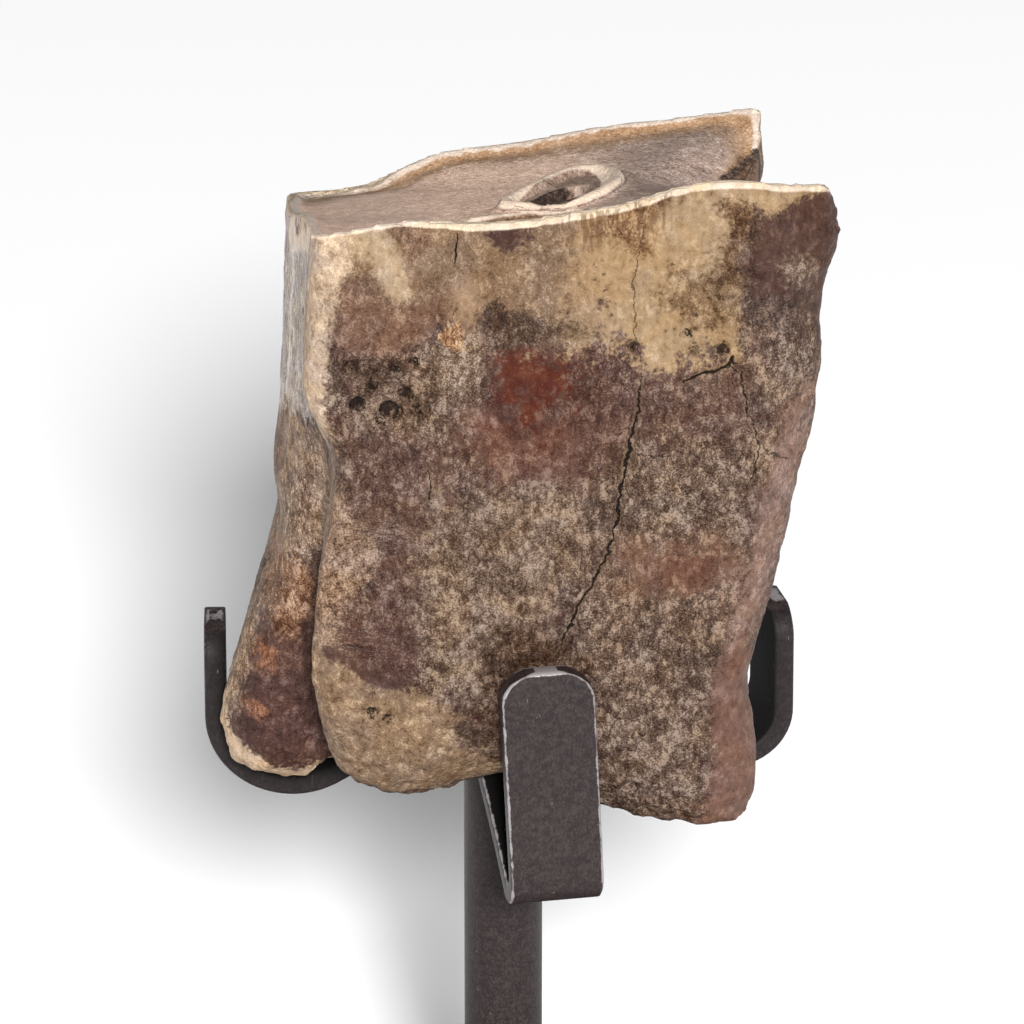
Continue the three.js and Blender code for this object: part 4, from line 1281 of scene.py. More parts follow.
        def cut(name: str, depth: Socket) -> Socket:
            """Depth of the cracks held in one attribute."""
            signed, half, _ = g.parts(stored(name, "FLOAT_VECTOR"))
            return g.times(g.ramp(g.minus(g.math("ABSOLUTE", signed), half), 0.36, -0.06), depth)

        swell = g.times(cloud(given["Swell Spacing"], 0.0, 1.0), given["Swell Height"])
        lump = g.times(cloud(given["Lump Spacing"], 3.0, 3.0), given["Lump Height"])
        hollows = g.ramp(cloud(given["Pit Spacing"], 9.0, 2.0), -0.08, -0.24)
        zone = g.ramp(cloud(given["Swell Spacing"], 5.0, 1.0), -0.05, 0.15)
        pits = g.times(hollows, zone, given["Pit Depth"])
        porous = g.times(g.ramp(stored("porous"), -0.5, 1.0), g.times(hollows, 0.5))
        height = g.minus(g.plus(swell, lump), g.plus(pits, porous))
        height = g.times(height, 2.0, stored("relief"))
        deep = given["Crack Depth"]
        cuts = g.plus(cut("cracks", deep), cut("hairlines", g.times(deep, 0.4)))
        pores = g.times(g.ramp(stored("pore"), -0.3, 0.35), given["Pore Depth"])
        height = g.minus(height, g.plus(cuts, pores))
        offset = g.scaled(g.get("GeometryNodeInputNormal"), g.times(height, MM))
        moved = g.get("GeometryNodeSetPosition", {"Geometry": given["Geometry"], "Offset": offset})
        g.dress(moved, given["Finish"])
        reshaped(self.piece, g.tree, sizes | {"Finish": material})

    def _material(self, effects: Effects) -> bpy.types.Material:
        """The fossil's material: tones laid over each other, then grain, stains, cracks and specks.

        Args:
            effects: The shared shader groups.

        Returns:
            The material.
        """
        material, g, shader = new_material("fossil")
        place = g.own_place()
        coarse = g.noise(place, 2.4, 2.0, 0.6, 0.5)
        fine = g.noise(place, 0.5, 2.0, 0.6, 0.3)
        laid = self._tones(g, effects, coarse, fine)
        chewing, grit = g.attribute("chewing"), g.attribute("grit")
        roughness, contrast, _ = g.channels(laid["Traits"])
        grain = g.use(effects.grain, {
            "Place": place, "Dark": laid["Dark"], "Middle": laid["Middle"], "Light": laid["Light"],
            "Contrast": contrast, "Upright": g.attribute("upright"), "Level": g.attribute("level"),
            "Grit": grit, "Size": g.ramp(chewing, -0.2, 0.2, 1.0, 0.6)})
        colour = self._specked(g, grain["Color"], place)

        wander = g.noise(place, 1.1, 4.0, 0.65)
        crack, hairline = (
            g.use(effects.crack, {"Line": g.attribute(name, "Vector"), "Wander": wander, "Reach": 1.4})
            for name in ("cracks", "hairlines"))
        pore = g.ramp(g.times_plus(g.minus(fine, 0.5), 2.2, g.attribute("pore")), -0.15, 0.2)
        colour = g.blend(g.times(crack["Lip"], 0.2), colour, albedo((176, 148, 118)))
        cuts = g.most(crack["Mask"], g.times(hairline["Mask"], 0.7))
        # cracks and pores are painted near-black: the cracks' dark line, and painted shade inside the pores
        dark = g.most(cuts, g.times(pore, 0.9))
        colour = g.blend(dark, colour, albedo((38, 28, 22)))
        usual_height = g.times_plus(grit, 0.49, 0.07)
        rough = g.times_plus(g.minus(grain["Height"], usual_height), 0.6, roughness)
        rise = g.times(grain["Height"], g.ramp(chewing, -0.2, 0.2, 1.0, 0.3))
        relief = g.minus(rise, g.times(dark, 0.6))
        g.feed(shader, {
            "Base Color": colour, "Roughness": g.most(rough, dark), "Specular IOR Level": 0.13,
            "Normal": g.get("ShaderNodeBump", {"Strength": 0.7, "Distance": 0.5 * MM, "Height": relief})})
        return material

    def _tones(self, g: Graph, effects: Effects, coarse: Socket, fine: Socket) -> dict[str, Any]:
        """Lays the tones over each other.

        Args:
            g: The material's graph.
            effects: The shared shader groups.
            coarse: Coarse noise, for the edges of patches.
            fine: Fine noise, for the same.

        Returns:
            The three colours and the traits that come out on top.
        """
        laid: dict[str, Any] = Tones.CEMENT.value.colours()

        def lay(tone: Tones, *masks: Any) -> None:
            """Lays a tone over what is there, where all the masks are 1."""
            values = {"Mask": g.times(*masks)}
            for name, over in tone.value.colours().items():
                values |= {f"Under {name}": laid[name], f"Over {name}": over}
            outputs = g.use(effects.layer, values)
            laid.update({name: outputs[name] for name in laid})

        def ragged(distance: Any, soft: float, reach: float) -> Socket:
            """Mask of a patch from the distance to its outline."""
            values = {"Distance": distance, "Soft": soft, "Ragged": reach, "Coarse": coarse, "Fine": fine}
            return g.use(effects.edge, values)[0]

        broad = g.noise(g.own_place(), 6.0, 2.0, 0.5, 0.8)
        depth, inside, chewing, broken = (
            g.attribute(name) for name in ("depth", "inside", "chewing", "broken_side"))
        fossette, hollow, lens, pit = (g.attribute(name) for name in ("fossette", "hollow", "lens", "pit"))
        lay(Tones.MAROON, g.ramp(broad, 0.5, 0.6))
        lay(Tones.TAN_CEMENT, g.ramp(broad, 0.47, 0.37))
        lay(Tones.DULL_CREAM, ragged(g.minus(7.5, g.attribute("outer_top")), 2.5, 2.0))
        for patch in PATCHES:
            lay(patch.tone, ragged(g.attribute(patch.name), patch.soft, patch.ragged))

        # the worn floor, darker to the right, and the far wall's inner face
        on_chewing = g.ramp(chewing, 0.0, 0.3)
        far = g.times(on_chewing, g.attribute("far_side"))
        lay(Tones.DENTINE, on_chewing)
        lay(Tones.GREY_DENTINE, on_chewing, g.attribute("right_floor"))
        lay(Tones.FAR_WALL, far, ragged(g.minus(4.2, inside), 1.2, 1.0))
        lay(Tones.FAR_BROWN, far, ragged(g.minus(2.6, inside), 0.9, 0.3))

        # the enamel loop and the fold, with a dark line of painted shade round them, a stain in the fold and
        # painted shade in the loop's hole
        on_top = g.times(g.ramp(g.attribute("floor_height"), -5.5, -4.5), g.ramp(chewing, 0.4, 0.8))
        around = g.most(g.ramp(fossette, -0.55, -0.25), g.ramp(lens, -0.85, -0.5))
        ring = g.times(g.ramp(fossette, -0.3, 0.0), g.ramp(hollow, 0.15, -0.1))
        fold = g.times(g.ramp(lens, -0.5, -0.2), g.ramp(lens, 0.75, 0.5))
        # painted shade: a dark line round the foot of the loop and the fold
        lay(Tones.BLACKISH, around, on_top, 0.6)
        lay(Tones.LOOP, g.most(ring, fold), on_top)
        lay(Tones.STAIN, g.ramp(lens, 0.65, 0.9), on_top)
        # painted shade in the loop's hole
        lay(Tones.PAINTED_HOLLOW_SHADE, g.ramp(g.times_plus(coarse, 1.2, pit), 0.2, 0.5), on_top)

        # the rim's enamel, and the chips that have broken out of it, with painted shade in the notch
        under = g.minus(g.attribute("rim_depth"), depth)
        band = g.math("MINIMUM", g.minus(self.rim_width, inside), under)
        crest = g.math("MINIMUM", g.minus(g.attribute("crest_width"), inside), under)
        notch = g.times_plus(fine, 0.8, g.attribute("notch"))
        lay(Tones.RIM_TAN, g.ramp(g.times_plus(coarse, 0.25, band), 0.0, 0.3))
        lay(Tones.ENAMEL_END, g.ramp(g.times_plus(coarse, 0.3, crest), 0.0, 0.45), g.minus(1.0, broken))
        lay(Tones.UMBER, g.ramp(inside, 3.6, 2.4), broken)
        lay(Tones.UMBER, g.ramp(notch, 0.2, 0.6))
        # painted shade in the notch
        lay(Tones.PAINTED_HOLLOW_SHADE, g.ramp(notch, 0.1, 0.4), g.ramp(notch, 1.3, 0.7))
        return laid

    @staticmethod
    def _specked(g: Graph, colour: Socket, place: Socket) -> Socket:
        """Blotches, warmer and darker drifts, flecks, specks, and light grains that also paint tiny
        highlights, on the walls.

        Args:
            g: The material's graph.
            colour: The colour under them.
            place: The place on the tooth, in millimetres.

        Returns:
            The colour with them.
        """
        on_wall = g.ramp(g.attribute("chewing"), 0.1, -0.2)
        on_cream = g.ramp(g.most(g.attribute("main_cream"), g.attribute("greyed_band")), -0.3, 0.8)
        cream = g.times(on_cream, on_wall)
        calm = g.ramp(g.attribute("grit"), 0.2, 0.8, 0.3, 1.0)
        blotches = g.ramp(g.noise(place, 3.6, 4.0, 0.66, 0.6), 0.5, 0.66)
        colour = g.blend(g.times(blotches, on_wall, calm, 0.3), colour, (0.5, 0.44, 0.38, 1.0), "MULTIPLY")
        drift = g.ramp(g.noise(place, 4.6, 2.0, 0.6, 0.5), 0.36, 0.64)
        colour = g.blend(on_wall, colour, g.blend(drift, WHITE, (1.05, 0.99, 0.86, 1.0)), "MULTIPLY")

        zone = g.ramp(g.noise(place, 5.0, 1.0, 0.55, 0.4), 0.4, 0.6)
        flecks = g.times(g.ramp(g.noise(place, 0.7, 3.0, 0.6, 0.3), 0.52, 0.66), cream, zone)
        lines = g.ramp(g.noise(g.scaled(place, (1.0, 1.0, 0.16)), 0.5, 2.0, 0.5), 0.5, 0.6)
        flutes = g.times(lines, g.attribute("flutes"))
        speckled = g.ramp(g.attribute("cream_mottle"), -3.0, 0.5, 0.15, 1.0)
        bent = g.swayed(place, (1.2, 1.2, 0.6), 1.6, 0.0)
        specks = g.times(g.spots(bent, 1.3, 0.27, 0.6), cream, speckled)
        bare = g.math("SUBTRACT", calm, cream, clamp=True)
        # light grains, which also stand in for tiny painted highlights
        painted_glints = g.times(g.spots(place, 0.62, 0.16, 0.2), bare)
        for mask, strength, tint in (
            (flecks, 0.3, (132, 100, 66)), (flutes, 0.6, (122, 86, 55)), (specks, 0.75, (74, 56, 36)),
            (painted_glints, 0.4, (196, 174, 150)),
        ):
            colour = g.blend(g.times(mask, strength), colour, albedo(tint))
        return colour


# ---- the stand ----


@dataclass(frozen=True)
class Paint:
    """Black paint on steel, worn at its edges; on the claws, painted shade darkens the inner faces and the
    sides towards the tooth.

    Attributes:
        name: The material's name.
        dark: Colour of its darkest grains.
        middle: Its colour.
        light: Colour of its lightest grains.
        bare: Colour of the worn edges, which on the claws also paints the edges' highlights.
        roughness: Its roughness.
        wear: How much of the edges is worn, from 0 to 1.
    """

    name: str
    dark: Colour = (50, 40, 40)
    middle: Colour = (67, 55, 55)
    light: Colour = (87, 75, 75)
    bare: Colour = (218, 210, 210)
    roughness: float = 0.46
    wear: float = 0.4

    def material(self, effects: Effects) -> bpy.types.Material:
        """Builds the paint's material.

        Args:
            effects: The shared shader groups.

        Returns:
            The material.
        """
        material, g, shader = new_material(self.name)
        place, inner = g.own_place(), g.attribute("inner")
        grain = g.use(effects.grain, {
            "Place": place, "Dark": albedo(self.dark), "Middle": albedo(self.middle),
            "Light": albedo(self.light), "Contrast": 1.0, "Size": 0.3})
        worn = g.use(effects.wear, {"Place": place, "Edge": g.attribute("wear"), "Amount": self.wear})
        # painted shade on the claws' inner faces and sides
        colour = g.blend(g.times(inner, 0.93), grain["Color"], albedo((14, 10, 10)))
        colour = g.blend(g.times(worn["Dust"], 0.45), colour, albedo((160, 150, 142)))
        colour = g.blend(g.times(worn["Scratch"], 0.12), colour, albedo((120, 110, 110)))
        rough = g.times_plus(grain["Height"], 0.12, self.roughness - 0.06)
        relief = g.minus(grain["Height"], worn["Worn"])
        g.feed(shader, {
            "Base Color": g.blend(worn["Worn"], colour, albedo(self.bare)), "Roughness": g.most(rough, inner),
            "Metallic": g.times(worn["Worn"], 0.3), "Specular IOR Level": 0.2,
            "Normal": g.get("ShaderNodeBump", {"Strength": 0.4, "Distance": 0.08 * MM, "Height": relief})})
        return material


@dataclass(frozen=True)
class Claw:
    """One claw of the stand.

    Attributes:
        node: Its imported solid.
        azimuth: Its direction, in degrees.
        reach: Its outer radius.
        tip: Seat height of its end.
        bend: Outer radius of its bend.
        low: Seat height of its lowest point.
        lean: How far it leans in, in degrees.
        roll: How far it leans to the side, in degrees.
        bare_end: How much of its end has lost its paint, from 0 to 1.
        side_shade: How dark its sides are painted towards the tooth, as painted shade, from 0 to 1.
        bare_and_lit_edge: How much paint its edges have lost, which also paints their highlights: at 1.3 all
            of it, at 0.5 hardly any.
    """

    node: str
    azimuth: float
    reach: float
    tip: float
    bend: float
    low: float
    lean: float
    roll: float
    bare_end: float
    side_shade: float
    bare_and_lit_edge: float


@dataclass
class Stand:
    """The claws, the rod and the base plate.

    Attributes:
        claws: The claws, in plan order.
        strip_width: Width of the claws' strip.
        strip_thick: Its thickness.
        strip_edge: Radius of its edges.
        tip_round: Rounding of its free end.
        hub_height: Seat height of the strips' underside over the rod.
        hub_reach: How far the strips run level.
        hub_bend: Radius where they start to slope.
        gap: Gap between separate pieces.
        rod_radius: Radius of the rod.
        rod_edge: Rounding of its ends.
        socket_depth: Depth of its socket in the plate.
        sides: Flats of a full turn of the rod and the socket.
        base_side: Side of the plate.
        base_thick: Its thickness.
        base_edge: Rounding of its edges.
        base_corner: Cut of its corners.
    """

    claws: tuple[Claw, ...] = (
        Claw("claw_right", 14.5, 29.4, 16, 5.8, -1, 0.4, 0, 0.6, 0.7, 0.6),
        Claw("claw_back", 104, 18.8, 21, 4, 1.2, 0.6, 0, 0.5, 0.3, 0.6),
        Claw("claw_left", 181.5, 30.1, 17.4, 8.8, -0.8, 0.2, 0, 0.55, 0.95, 0.95),
        Claw("claw_front", 280.4, 30.1, 24.8, 3.4, -1.1, 1.5, 2.6, 0.3, 0.0, 1.3),
    )
    strip_width: float = 9.2
    strip_thick: float = 2.1
    strip_edge: float = 0.4
    tip_round: float = 3.1
    hub_height: float = 8.0
    hub_reach: float = 4.5
    hub_bend: float = 0.8
    gap: float = 0.3
    rod_radius: float = 4.0
    rod_edge: float = 0.3
    socket_depth: float = 4.0
    sides: int = 96
    base_side: float = 90.0
    base_thick: float = 6.0
    base_edge: float = 0.8
    base_corner: float = 2.0

    def build(self, effects: Effects) -> list[bpy.types.Object]:
        """Builds and dresses the stand.

        Args:
            effects: The shared shader groups.

        Returns:
            Its pieces.
        """
        claw_paint = Paint("claw_paint", wear=0.5).material(effects)
        rod_paint = Paint("rod_paint", wear=0.2).material(effects)
        base_paint = Paint("base_paint", wear=0.2, roughness=0.62).material(effects)
        bender = self._bender()
        pieces = []
        for i, claw in enumerate(self.claws):
            neighbours = (self.claws[i - 1], self.claws[(i + 1) % len(self.claws)])
            piece = self._claw(claw, neighbours, bender, claw_paint)
            self._declare(piece, claw.node, "claw_steel")
            pieces.append(piece)
        for piece, node, slot, paint in (
            (self._rod(), "rod", "rod_steel", rod_paint),
            (self._base(), "base", "base_steel", base_paint),
        ):
            piece.data.materials.clear()
            piece.data.materials.append(paint)
            self._declare(piece, node, slot)
            pieces.append(piece)
        return pieces

    @staticmethod
    def _declare(piece: bpy.types.Object, node: str, slot: str) -> None:
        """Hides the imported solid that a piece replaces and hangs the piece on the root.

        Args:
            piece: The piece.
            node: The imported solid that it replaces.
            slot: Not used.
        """
        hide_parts(node)
        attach(piece, "root")

    def _path(self, claw: Claw) -> tuple[list[Vector], float]:
        """The corners of a claw's middle line before its bend is rounded, and its length after.

        Args:
            claw: The claw.

        Returns:
            Four points (reach, 0, seat height), and the length.
        """
        half = self.strip_thick / 2
        radius = claw.bend - half
        hub = Vector((self.hub_reach, self.hub_height + half))
        elbow = Vector((claw.reach - claw.bend, claw.low + claw.bend))
        to_elbow = elbow - hub
        bearing = math.atan2(to_elbow.y, to_elbow.x) - math.asin(radius / to_elbow.length)
        lean = math.radians(claw.lean)
        slope = Vector((math.cos(bearing), math.sin(bearing)))
        rise = Vector((-math.sin(lean), math.cos(lean)))
        foot = elbow + radius * Vector((math.cos(lean), math.sin(lean)))
        # the sloping leg and the upright meet in the corner that the bend rounds off
        offset = foot - hub
        cross = slope.x * rise.y - slope.y * rise.x
        corner = hub + slope * ((offset.x * rise.y - offset.y * rise.x) / cross)
        tip = foot + rise * ((claw.tip - foot.y) / rise.y)
        turn = math.acos(max(-1.0, min(1.0, slope.dot(rise))))
        tangent = radius * math.tan(turn / 2)
        length = hub.x + (corner - hub).length - tangent + radius * turn + (tip - corner).length - tangent
        return [Vector((p.x, 0, p.y)) for p in (Vector((0, hub.y)), hub, corner, tip)], length

    def _strip(self, name: str, length: float, claw: Claw) -> bpy.types.Object:
        """A flat strip with rounded edges and one rounded end, lying along X from its end at 0.

        Args:
            name: The piece's name.
            length: Its length.
            claw: The claw that it becomes.

        Returns:
            The piece, in millimetres.
        """
        half, thick, edge, end = self.strip_width / 2, self.strip_thick / 2, self.strip_edge, self.tip_round
        step, blunt = 0.6, 0.14
        tip = end * (1 - np.cos(np.linspace(0.12, math.pi / 2, 12)))
        along = np.concatenate([tip, np.arange(end + step, length, step), [length]])
        section = self._section(half, thick, edge)
        verts, wear, inner = [], [], []
        for s in along:
            # the end narrows in a curve and thins a little
            curve = math.sqrt(max(0.0, 1 - (1 - min(s / end, 1.0)) ** 2))
            share = curve * (1 - blunt) + blunt if s < end else 1.0
            cap = min(1.0, 0.55 + s / 0.5)
            for v, w in section:
                verts.append((s, v * share, w * cap))
                near_edge = math.hypot(max(0.0, half * share - abs(v * share)), thick - abs(w))
                near_end = math.hypot(s, thick - abs(w))
                # the bare edges are wear, and also stand in for the edges' highlights
                at_edge = claw.bare_and_lit_edge - min(near_edge, near_end) / edge
                wear.append(max(0.0, at_edge, 1.25 * claw.bare_end - s / 1.1))
                # painted shade on the face towards the tooth, and on the sides near it
                dark = min(1.0, max(0.0, (edge - thick - w) / edge))
                if abs(v) > half - 0.5 * edge:
                    dark = max(dark, claw.side_shade * (0.45 + 0.55 * (thick - w) / self.strip_thick))
                inner.append(dark if s > step else 0.0)
        n = len(section)
        faces = [(row * n + i, row * n + (i + 1) % n, (row + 1) * n + (i + 1) % n, (row + 1) * n + i)
                 for row in range(len(along) - 1) for i in range(n)]
        faces += [tuple(range(n)), tuple(range((len(along) - 1) * n, len(along) * n))]
        mesh = bpy.data.meshes.new(name)
        mesh.from_pydata(verts, [], faces)
        with edited(mesh) as shell:
            bmesh.ops.recalc_face_normals(shell, faces=shell.faces)
        set_attribute(mesh, "wear", np.array(wear))
        set_attribute(mesh, "inner", np.array(inner))
        return new_object(name, mesh)

    @staticmethod
    def _section(half: float, thick: float, edge: float) -> list[Point]:
        """The strip's outline across its length.

        Args:
            half: Half its width.
            thick: Half its thickness.
            edge: Radius of its edges.

        Returns:
            The outline's points, going round.
        """
        corner = np.radians(np.linspace(0, 90, 5))
        quarter = [(half - edge + edge * math.sin(t), thick - edge + edge * math.cos(t)) for t in corner]
        flat = [(x, thick) for x in np.linspace(0, half - edge, 6)[:-1]]
        side = flat + quarter
        right = side + [(x, -y) for x, y in reversed(side)]
        return right + [(-x, y) for x, y in reversed(right[1:-1])]

    @staticmethod
    def _bender() -> bpy.types.NodeTree:
        """Geometry Nodes that bend a flat strip along a cornered path with rounded bends."""
        path = ("Start", "Hub", "Corner", "Tip")
        sizes = ("Bend Radius", "Hub Radius", "Roll Start", "Roll Slope", "Azimuth", "Seat")
        g, given = geometry_tree("bent_strip", {name: "Vector" for name in path}
                                 | {name: "Float" for name in sizes} | {"Finish": "Material"})
        index = g.get("GeometryNodeInputIndex")
        corners = g.add("GeometryNodeIndexSwitch", data_type="VECTOR")
        while len(corners.index_switch_items) < len(path):
            corners.index_switch_items.new()
        g.feed(corners.inputs, {0: index} | {i + 1: given[name] for i, name in enumerate(path)})
        line = g.get("GeometryNodeMeshLine", {"Count": len(path)})
        placed = g.get("GeometryNodeSetPosition", {"Geometry": line, "Position": corners.outputs[0]})
        curve = g.get("GeometryNodeMeshToCurve", {0: placed})
        at_corner = g.get("FunctionNodeCompare", {2: index, 3: path.index("Corner")}, data_type="INT",
                          operation="EQUAL")
        radius = g.get("GeometryNodeSwitch", {0: at_corner, 1: given["Hub Radius"], 2: given["Bend Radius"]},
                       input_type="FLOAT")
        bent = g.get("GeometryNodeFilletCurve", {
            "Curve": curve, "Count": 24, "Radius": radius, "Limit Radius": True}, mode="POLY")
        s, v, w = g.parts(g.get("GeometryNodeInputPosition"))
        sample = g.add("GeometryNodeSampleCurve", mode="LENGTH", use_all_curves=True)
        total = g.get("GeometryNodeCurveLength", {0: bent})
        g.feed(sample.inputs, {"Curves": bent, "Length": g.minus(total, s)})
        tangent, spot = g.parts(sample.outputs["Tangent"]), g.parts(sample.outputs["Position"])
        out = g.times_plus(tangent[2], w, spot[0])
        up = g.minus(spot[2], g.times(tangent[0], w))
        over = g.most(g.minus(spot[2], given["Roll Start"]), 0.0)
        across = g.minus(v, g.times(over, given["Roll Slope"]))
        local = g.get("ShaderNodeCombineXYZ", {0: out, 1: across, 2: g.plus(up, given["Seat"])})
        turned = g.get("ShaderNodeVectorRotate", {"Vector": g.scaled(local, MM), "Angle": given["Azimuth"]},
                       rotation_type="Z_AXIS")
        moved = g.get("GeometryNodeSetPosition", {"Geometry": given["Geometry"], "Position": turned})
        g.dress(moved, given["Finish"])
        return g.tree

    def _claw(self, claw: Claw, neighbours: tuple[Claw, Claw], bender: bpy.types.NodeTree,
              paint: bpy.types.Material) -> bpy.types.Object:
        """Bends one claw and mitres it to its neighbours.

        Args:
            claw: The claw.
            neighbours: The claws before and after it.
            bender: The tree that bends strips.
            paint: Its material.

        Returns:
            The piece.
        """
        (start, hub, corner, tip), length = self._path(claw)
        piece = self._strip(f"painted_{claw.node}", length, claw)
        mesh = reshaped(piece, bender, {
            "Start": start, "Hub": hub, "Corner": corner, "Tip": tip,
            "Bend Radius": claw.bend - self.strip_thick / 2, "Hub Radius": self.hub_bend,
            "Roll Start": claw.low + claw.bend, "Roll Slope": math.tan(math.radians(claw.roll)),
            "Azimuth": math.radians(claw.azimuth), "Seat": SEAT, "Finish": paint,
        })
        with edited(mesh) as shell:
            for neighbour, side in zip(neighbours, (-1, 1)):
                apart = (side * (neighbour.azimuth - claw.azimuth)) % 360
                angle = math.radians(claw.azimuth + side * apart / 2)
                along = Vector((math.cos(angle), math.sin(angle), 0))
                out = side * Vector((-along.y, along.x, 0))
                cut = bmesh.ops.bisect_plane(
                    shell, geom=shell.verts[:] + shell.edges[:] + shell.faces[:],
                    plane_co=-out * self.gap / 2 * MM, plane_no=out, clear_outer=True)
                rim = [e for e in cut["geom_cut"] if isinstance(e, bmesh.types.BMEdge)]
                bmesh.ops.holes_fill(shell, edges=rim, sides=0)
            bmesh.ops.recalc_face_normals(shell, faces=shell.faces)
        return piece

    def _rod(self) -> bpy.types.Object:
        """Turns the rod."""
        low = self.base_thick - self.socket_depth + self.gap
        high = SEAT + self.hub_height - self.gap
        radius, edge, n = self.rod_radius, self.rod_edge, self.sides
        end_wear = 0.8
        turns = [(edge * math.sin(t), edge * math.cos(t)) for t in np.radians(np.linspace(0, 90, 5))]
        foot = [(radius - edge + sine, low + edge - cosine, end_wear) for sine, cosine in turns]
        head = [(radius - edge + cosine, high - edge + sine, end_wear) for sine, cosine in turns]
        shaft = [(radius, z, 0.0) for z in np.linspace(low + edge, high - edge, 34)[1:-1]]
        verts, wear = [], []
        for r, z, worn in foot + shaft + head:
            for i in range(n):
                angle = 2 * math.pi * i / n
                verts.append((r * math.cos(angle) * MM, r * math.sin(angle) * MM, z * MM))
                wear.append(worn)
        rows = len(verts) // n
        faces = [(row * n + i, row * n + (i + 1) % n, (row + 1) * n + (i + 1) % n, (row + 1) * n + i)
                 for row in range(rows - 1) for i in range(n)]
        faces += [tuple(reversed(range(n))), tuple(range((rows - 1) * n, rows * n))]
        mesh = bpy.data.meshes.new("painted_rod")
        mesh.from_pydata(verts, [], faces)
        mesh.shade_smooth()
        set_attribute(mesh, "wear", np.array(wear))
        return new_object("painted_rod", mesh)

    def _base(self) -> bpy.types.Object:
        """Cuts the base plate, with rounded edges and the rod's socket."""
        half, cut = self.base_side / 2, self.base_side / 2 - self.base_corner
        corners = ((cut, -half), (half, -cut), (half, cut), (cut, half), (-cut, half), (-half, cut),
                   (-half, -cut), (-cut, -half))
        n = len(corners)
        verts = [(x * MM, y * MM, z * MM) for z in (0.0, self.base_thick) for x, y in corners]
        faces = [(i, (i + 1) % n, n + (i + 1) % n, n + i) for i in range(n)]
        faces += [tuple(reversed(range(n))), tuple(range(n, 2 * n))]
        mesh = bpy.data.meshes.new("painted_base")
        mesh.from_pydata(verts, [], faces)
        piece = new_object("painted_base", mesh)
        rounding = piece.modifiers.new("edges", "BEVEL")
        rounding.width = self.base_edge * MM
        rounding.segments = 4
        settled(piece)
        drill_mesh = bpy.data.meshes.new("drill")
        bore = (self.rod_radius + self.gap) * MM
        with edited(drill_mesh) as drill:
            bmesh.ops.create_cone(
                drill, cap_ends=True, segments=self.sides, radius1=bore, radius2=bore,
                depth=2 * self.socket_depth * MM, matrix=Matrix.Translation((0, 0, self.base_thick * MM)))
        cutter = new_object("drill", drill_mesh)
        boring = piece.modifiers.new("socket", "BOOLEAN")
        boring.operation = "DIFFERENCE"
        boring.object = cutter
        mesh = settled(piece)
        bpy.data.objects.remove(cutter)
        places = of_vertices(mesh, "co") / MM
        lift = np.minimum(places[:, 2], self.base_thick - places[:, 2])
        border = half - np.abs(places[:, :2]).max(axis=1)
        set_attribute(mesh, "wear", smoothstep(0.75, 0.1, np.hypot(lift, np.clip(border, 0, 9)) - 0.2))
        mesh.shade_smooth()
        mesh.set_sharp_from_angle(angle=math.radians(30))
        return piece


# ---- the studio ----


@dataclass(frozen=True)
class Lamp:
    """A round light that faces the target.

    Attributes:
        azimuth: Its direction from the front, in degrees, growing to the right.
        elevation: How high it hangs, in degrees.
        distance: Its distance, in metres.
        size: Its width, in metres.
        power: Its power, in watts.
    """

    azimuth: float
    elevation: float
    distance: float
    size: float
    power: float


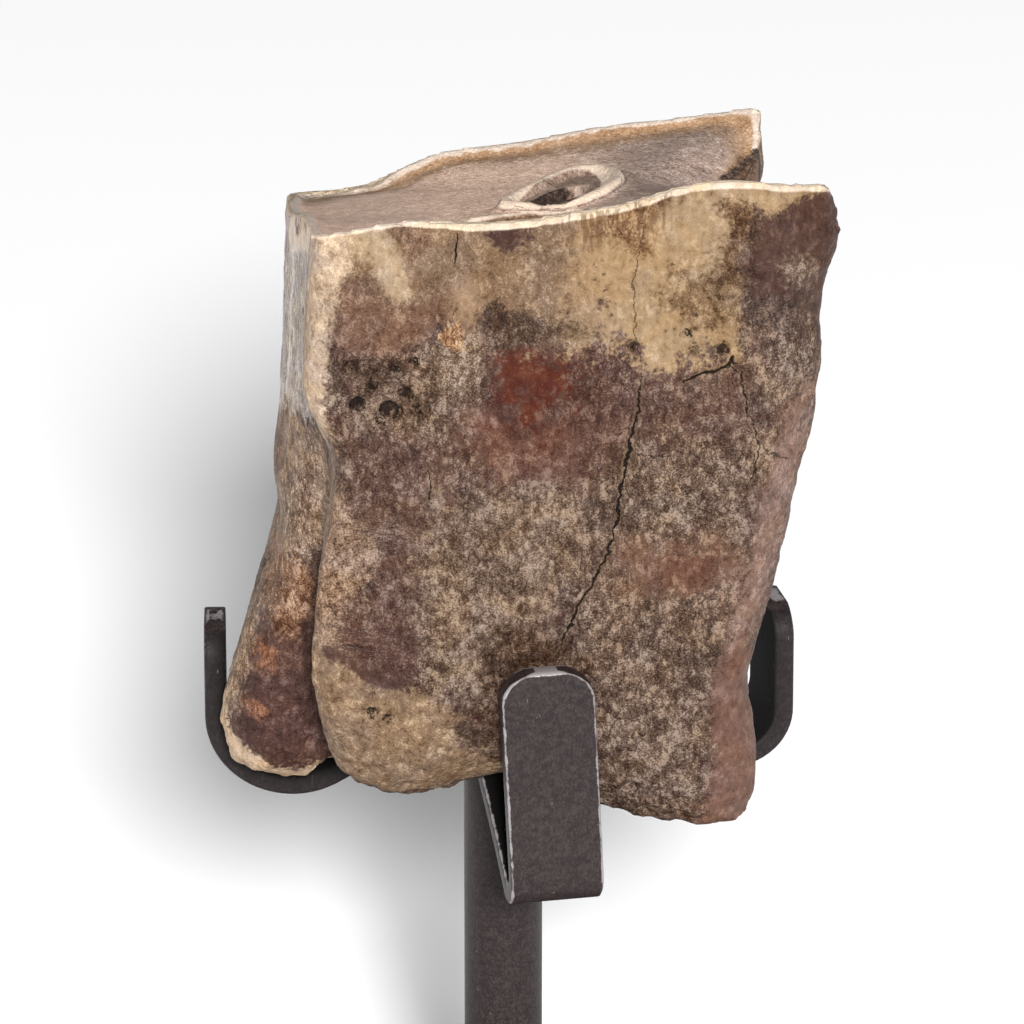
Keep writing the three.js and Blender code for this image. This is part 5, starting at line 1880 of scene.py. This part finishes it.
@dataclass
class Studio:
    """Floor, light and camera.

    Attributes:
        floor_side: Side of the floor, in metres.
        target: Point that the camera looks at, in millimetres.
        elevation: How far the camera looks down, in degrees.
        distance: Distance from the camera to the target, in millimetres.
        sensor: Width of the camera's sensor.
        lens: Its focal length.
        world: Strength of the light from all around.
        key: The main light.
        fills: The lights behind.
    """

    floor_side: float = 8.0
    target: Vec = (0.9, 0.0, 98.4)
    elevation: float = 25.0
    distance: float = 700.0
    sensor: float = 36.0
    lens: float = 246.1
    world: float = 0.12
    key: Lamp = Lamp(5.0, 28.5, 3.4, 0.54, 216.0)
    fills: tuple[Lamp, ...] = (Lamp(-116.0, 8.0, 1.6, 0.5, 9.0), Lamp(116.0, 8.0, 1.6, 0.5, 9.0))

    def build(self) -> None:
        """Builds the floor, the lights and the camera."""
        scene = bpy.context.scene
        scene.view_settings.view_transform = "Standard"
        self._floor()
        world = bpy.data.worlds.new("studio")
        world.use_nodes = True
        g = Graph(world.node_tree)
        seen = g.add("ShaderNodeLightPath").outputs["Is Camera Ray"]
        backdrop = world.node_tree.nodes["Background"].inputs
        g.feed(backdrop, {"Color": WHITE, "Strength": g.most(seen, self.world)})
        scene.world = world
        self._light("key", self.key)
        for i, fill in enumerate(self.fills):
            self._light(f"fill_{i}", fill)
        self._camera()

    def _floor(self) -> None:
        """Lays the pale floor."""
        half = self.floor_side / 2
        mesh = bpy.data.meshes.new("floor")
        corners = [(-half, -half, 0), (half, -half, 0), (half, half, 0), (-half, half, 0)]
        mesh.from_pydata(corners, [], [(0, 1, 2, 3)])
        material, g, shader = new_material("pale_floor")
        g.feed(shader, {"Base Color": (0.975, 0.975, 0.98, 1.0), "Roughness": 1.0, "Specular IOR Level": 0.0})
        mesh.materials.append(material)
        new_object("floor", mesh)

    def _light(self, name: str, lamp: Lamp) -> None:
        """Hangs a light.

        Args:
            name: Its name.
            lamp: What it is.
        """
        data = bpy.data.lights.new(name, "AREA")
        data.shape = "DISK"
        data.size = lamp.size
        data.energy = lamp.power
        light = new_object(name, data)
        turn, rise = math.radians(lamp.azimuth), math.radians(lamp.elevation)
        away = Vector((math.sin(turn) * math.cos(rise), -math.cos(turn) * math.cos(rise), math.sin(rise)))
        light.location = Vector(self.target) * MM + away * lamp.distance
        light.rotation_euler = away.to_track_quat("Z", "Y").to_euler()
        light.visible_camera = False

    def _camera(self) -> None:
        """Places the camera."""
        data = bpy.data.cameras.new("camera")
        data.sensor_width = self.sensor
        data.lens = self.lens
        camera = new_object("camera", data)
        rise = math.radians(self.elevation)
        away = Vector((0, -math.cos(rise), math.sin(rise)))
        camera.location = (Vector(self.target) + away * self.distance) * MM
        camera.rotation_euler = Euler((math.radians(90) - rise, 0, 0))
        bpy.context.scene.camera = camera


def main() -> None:
    """Builds the studio, the tooth and the stand, and reports each piece."""
    logging.basicConfig(level=logging.INFO, format="%(name)s: %(message)s")
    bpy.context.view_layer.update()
    Studio().build()
    effects = Effects()
    for part in (Tooth(), Stand()):
        for piece in part.build(effects):
            log.info("%s: %d faces", piece.name, len(piece.data.polygons))


if __name__ == "__main__":
    main()
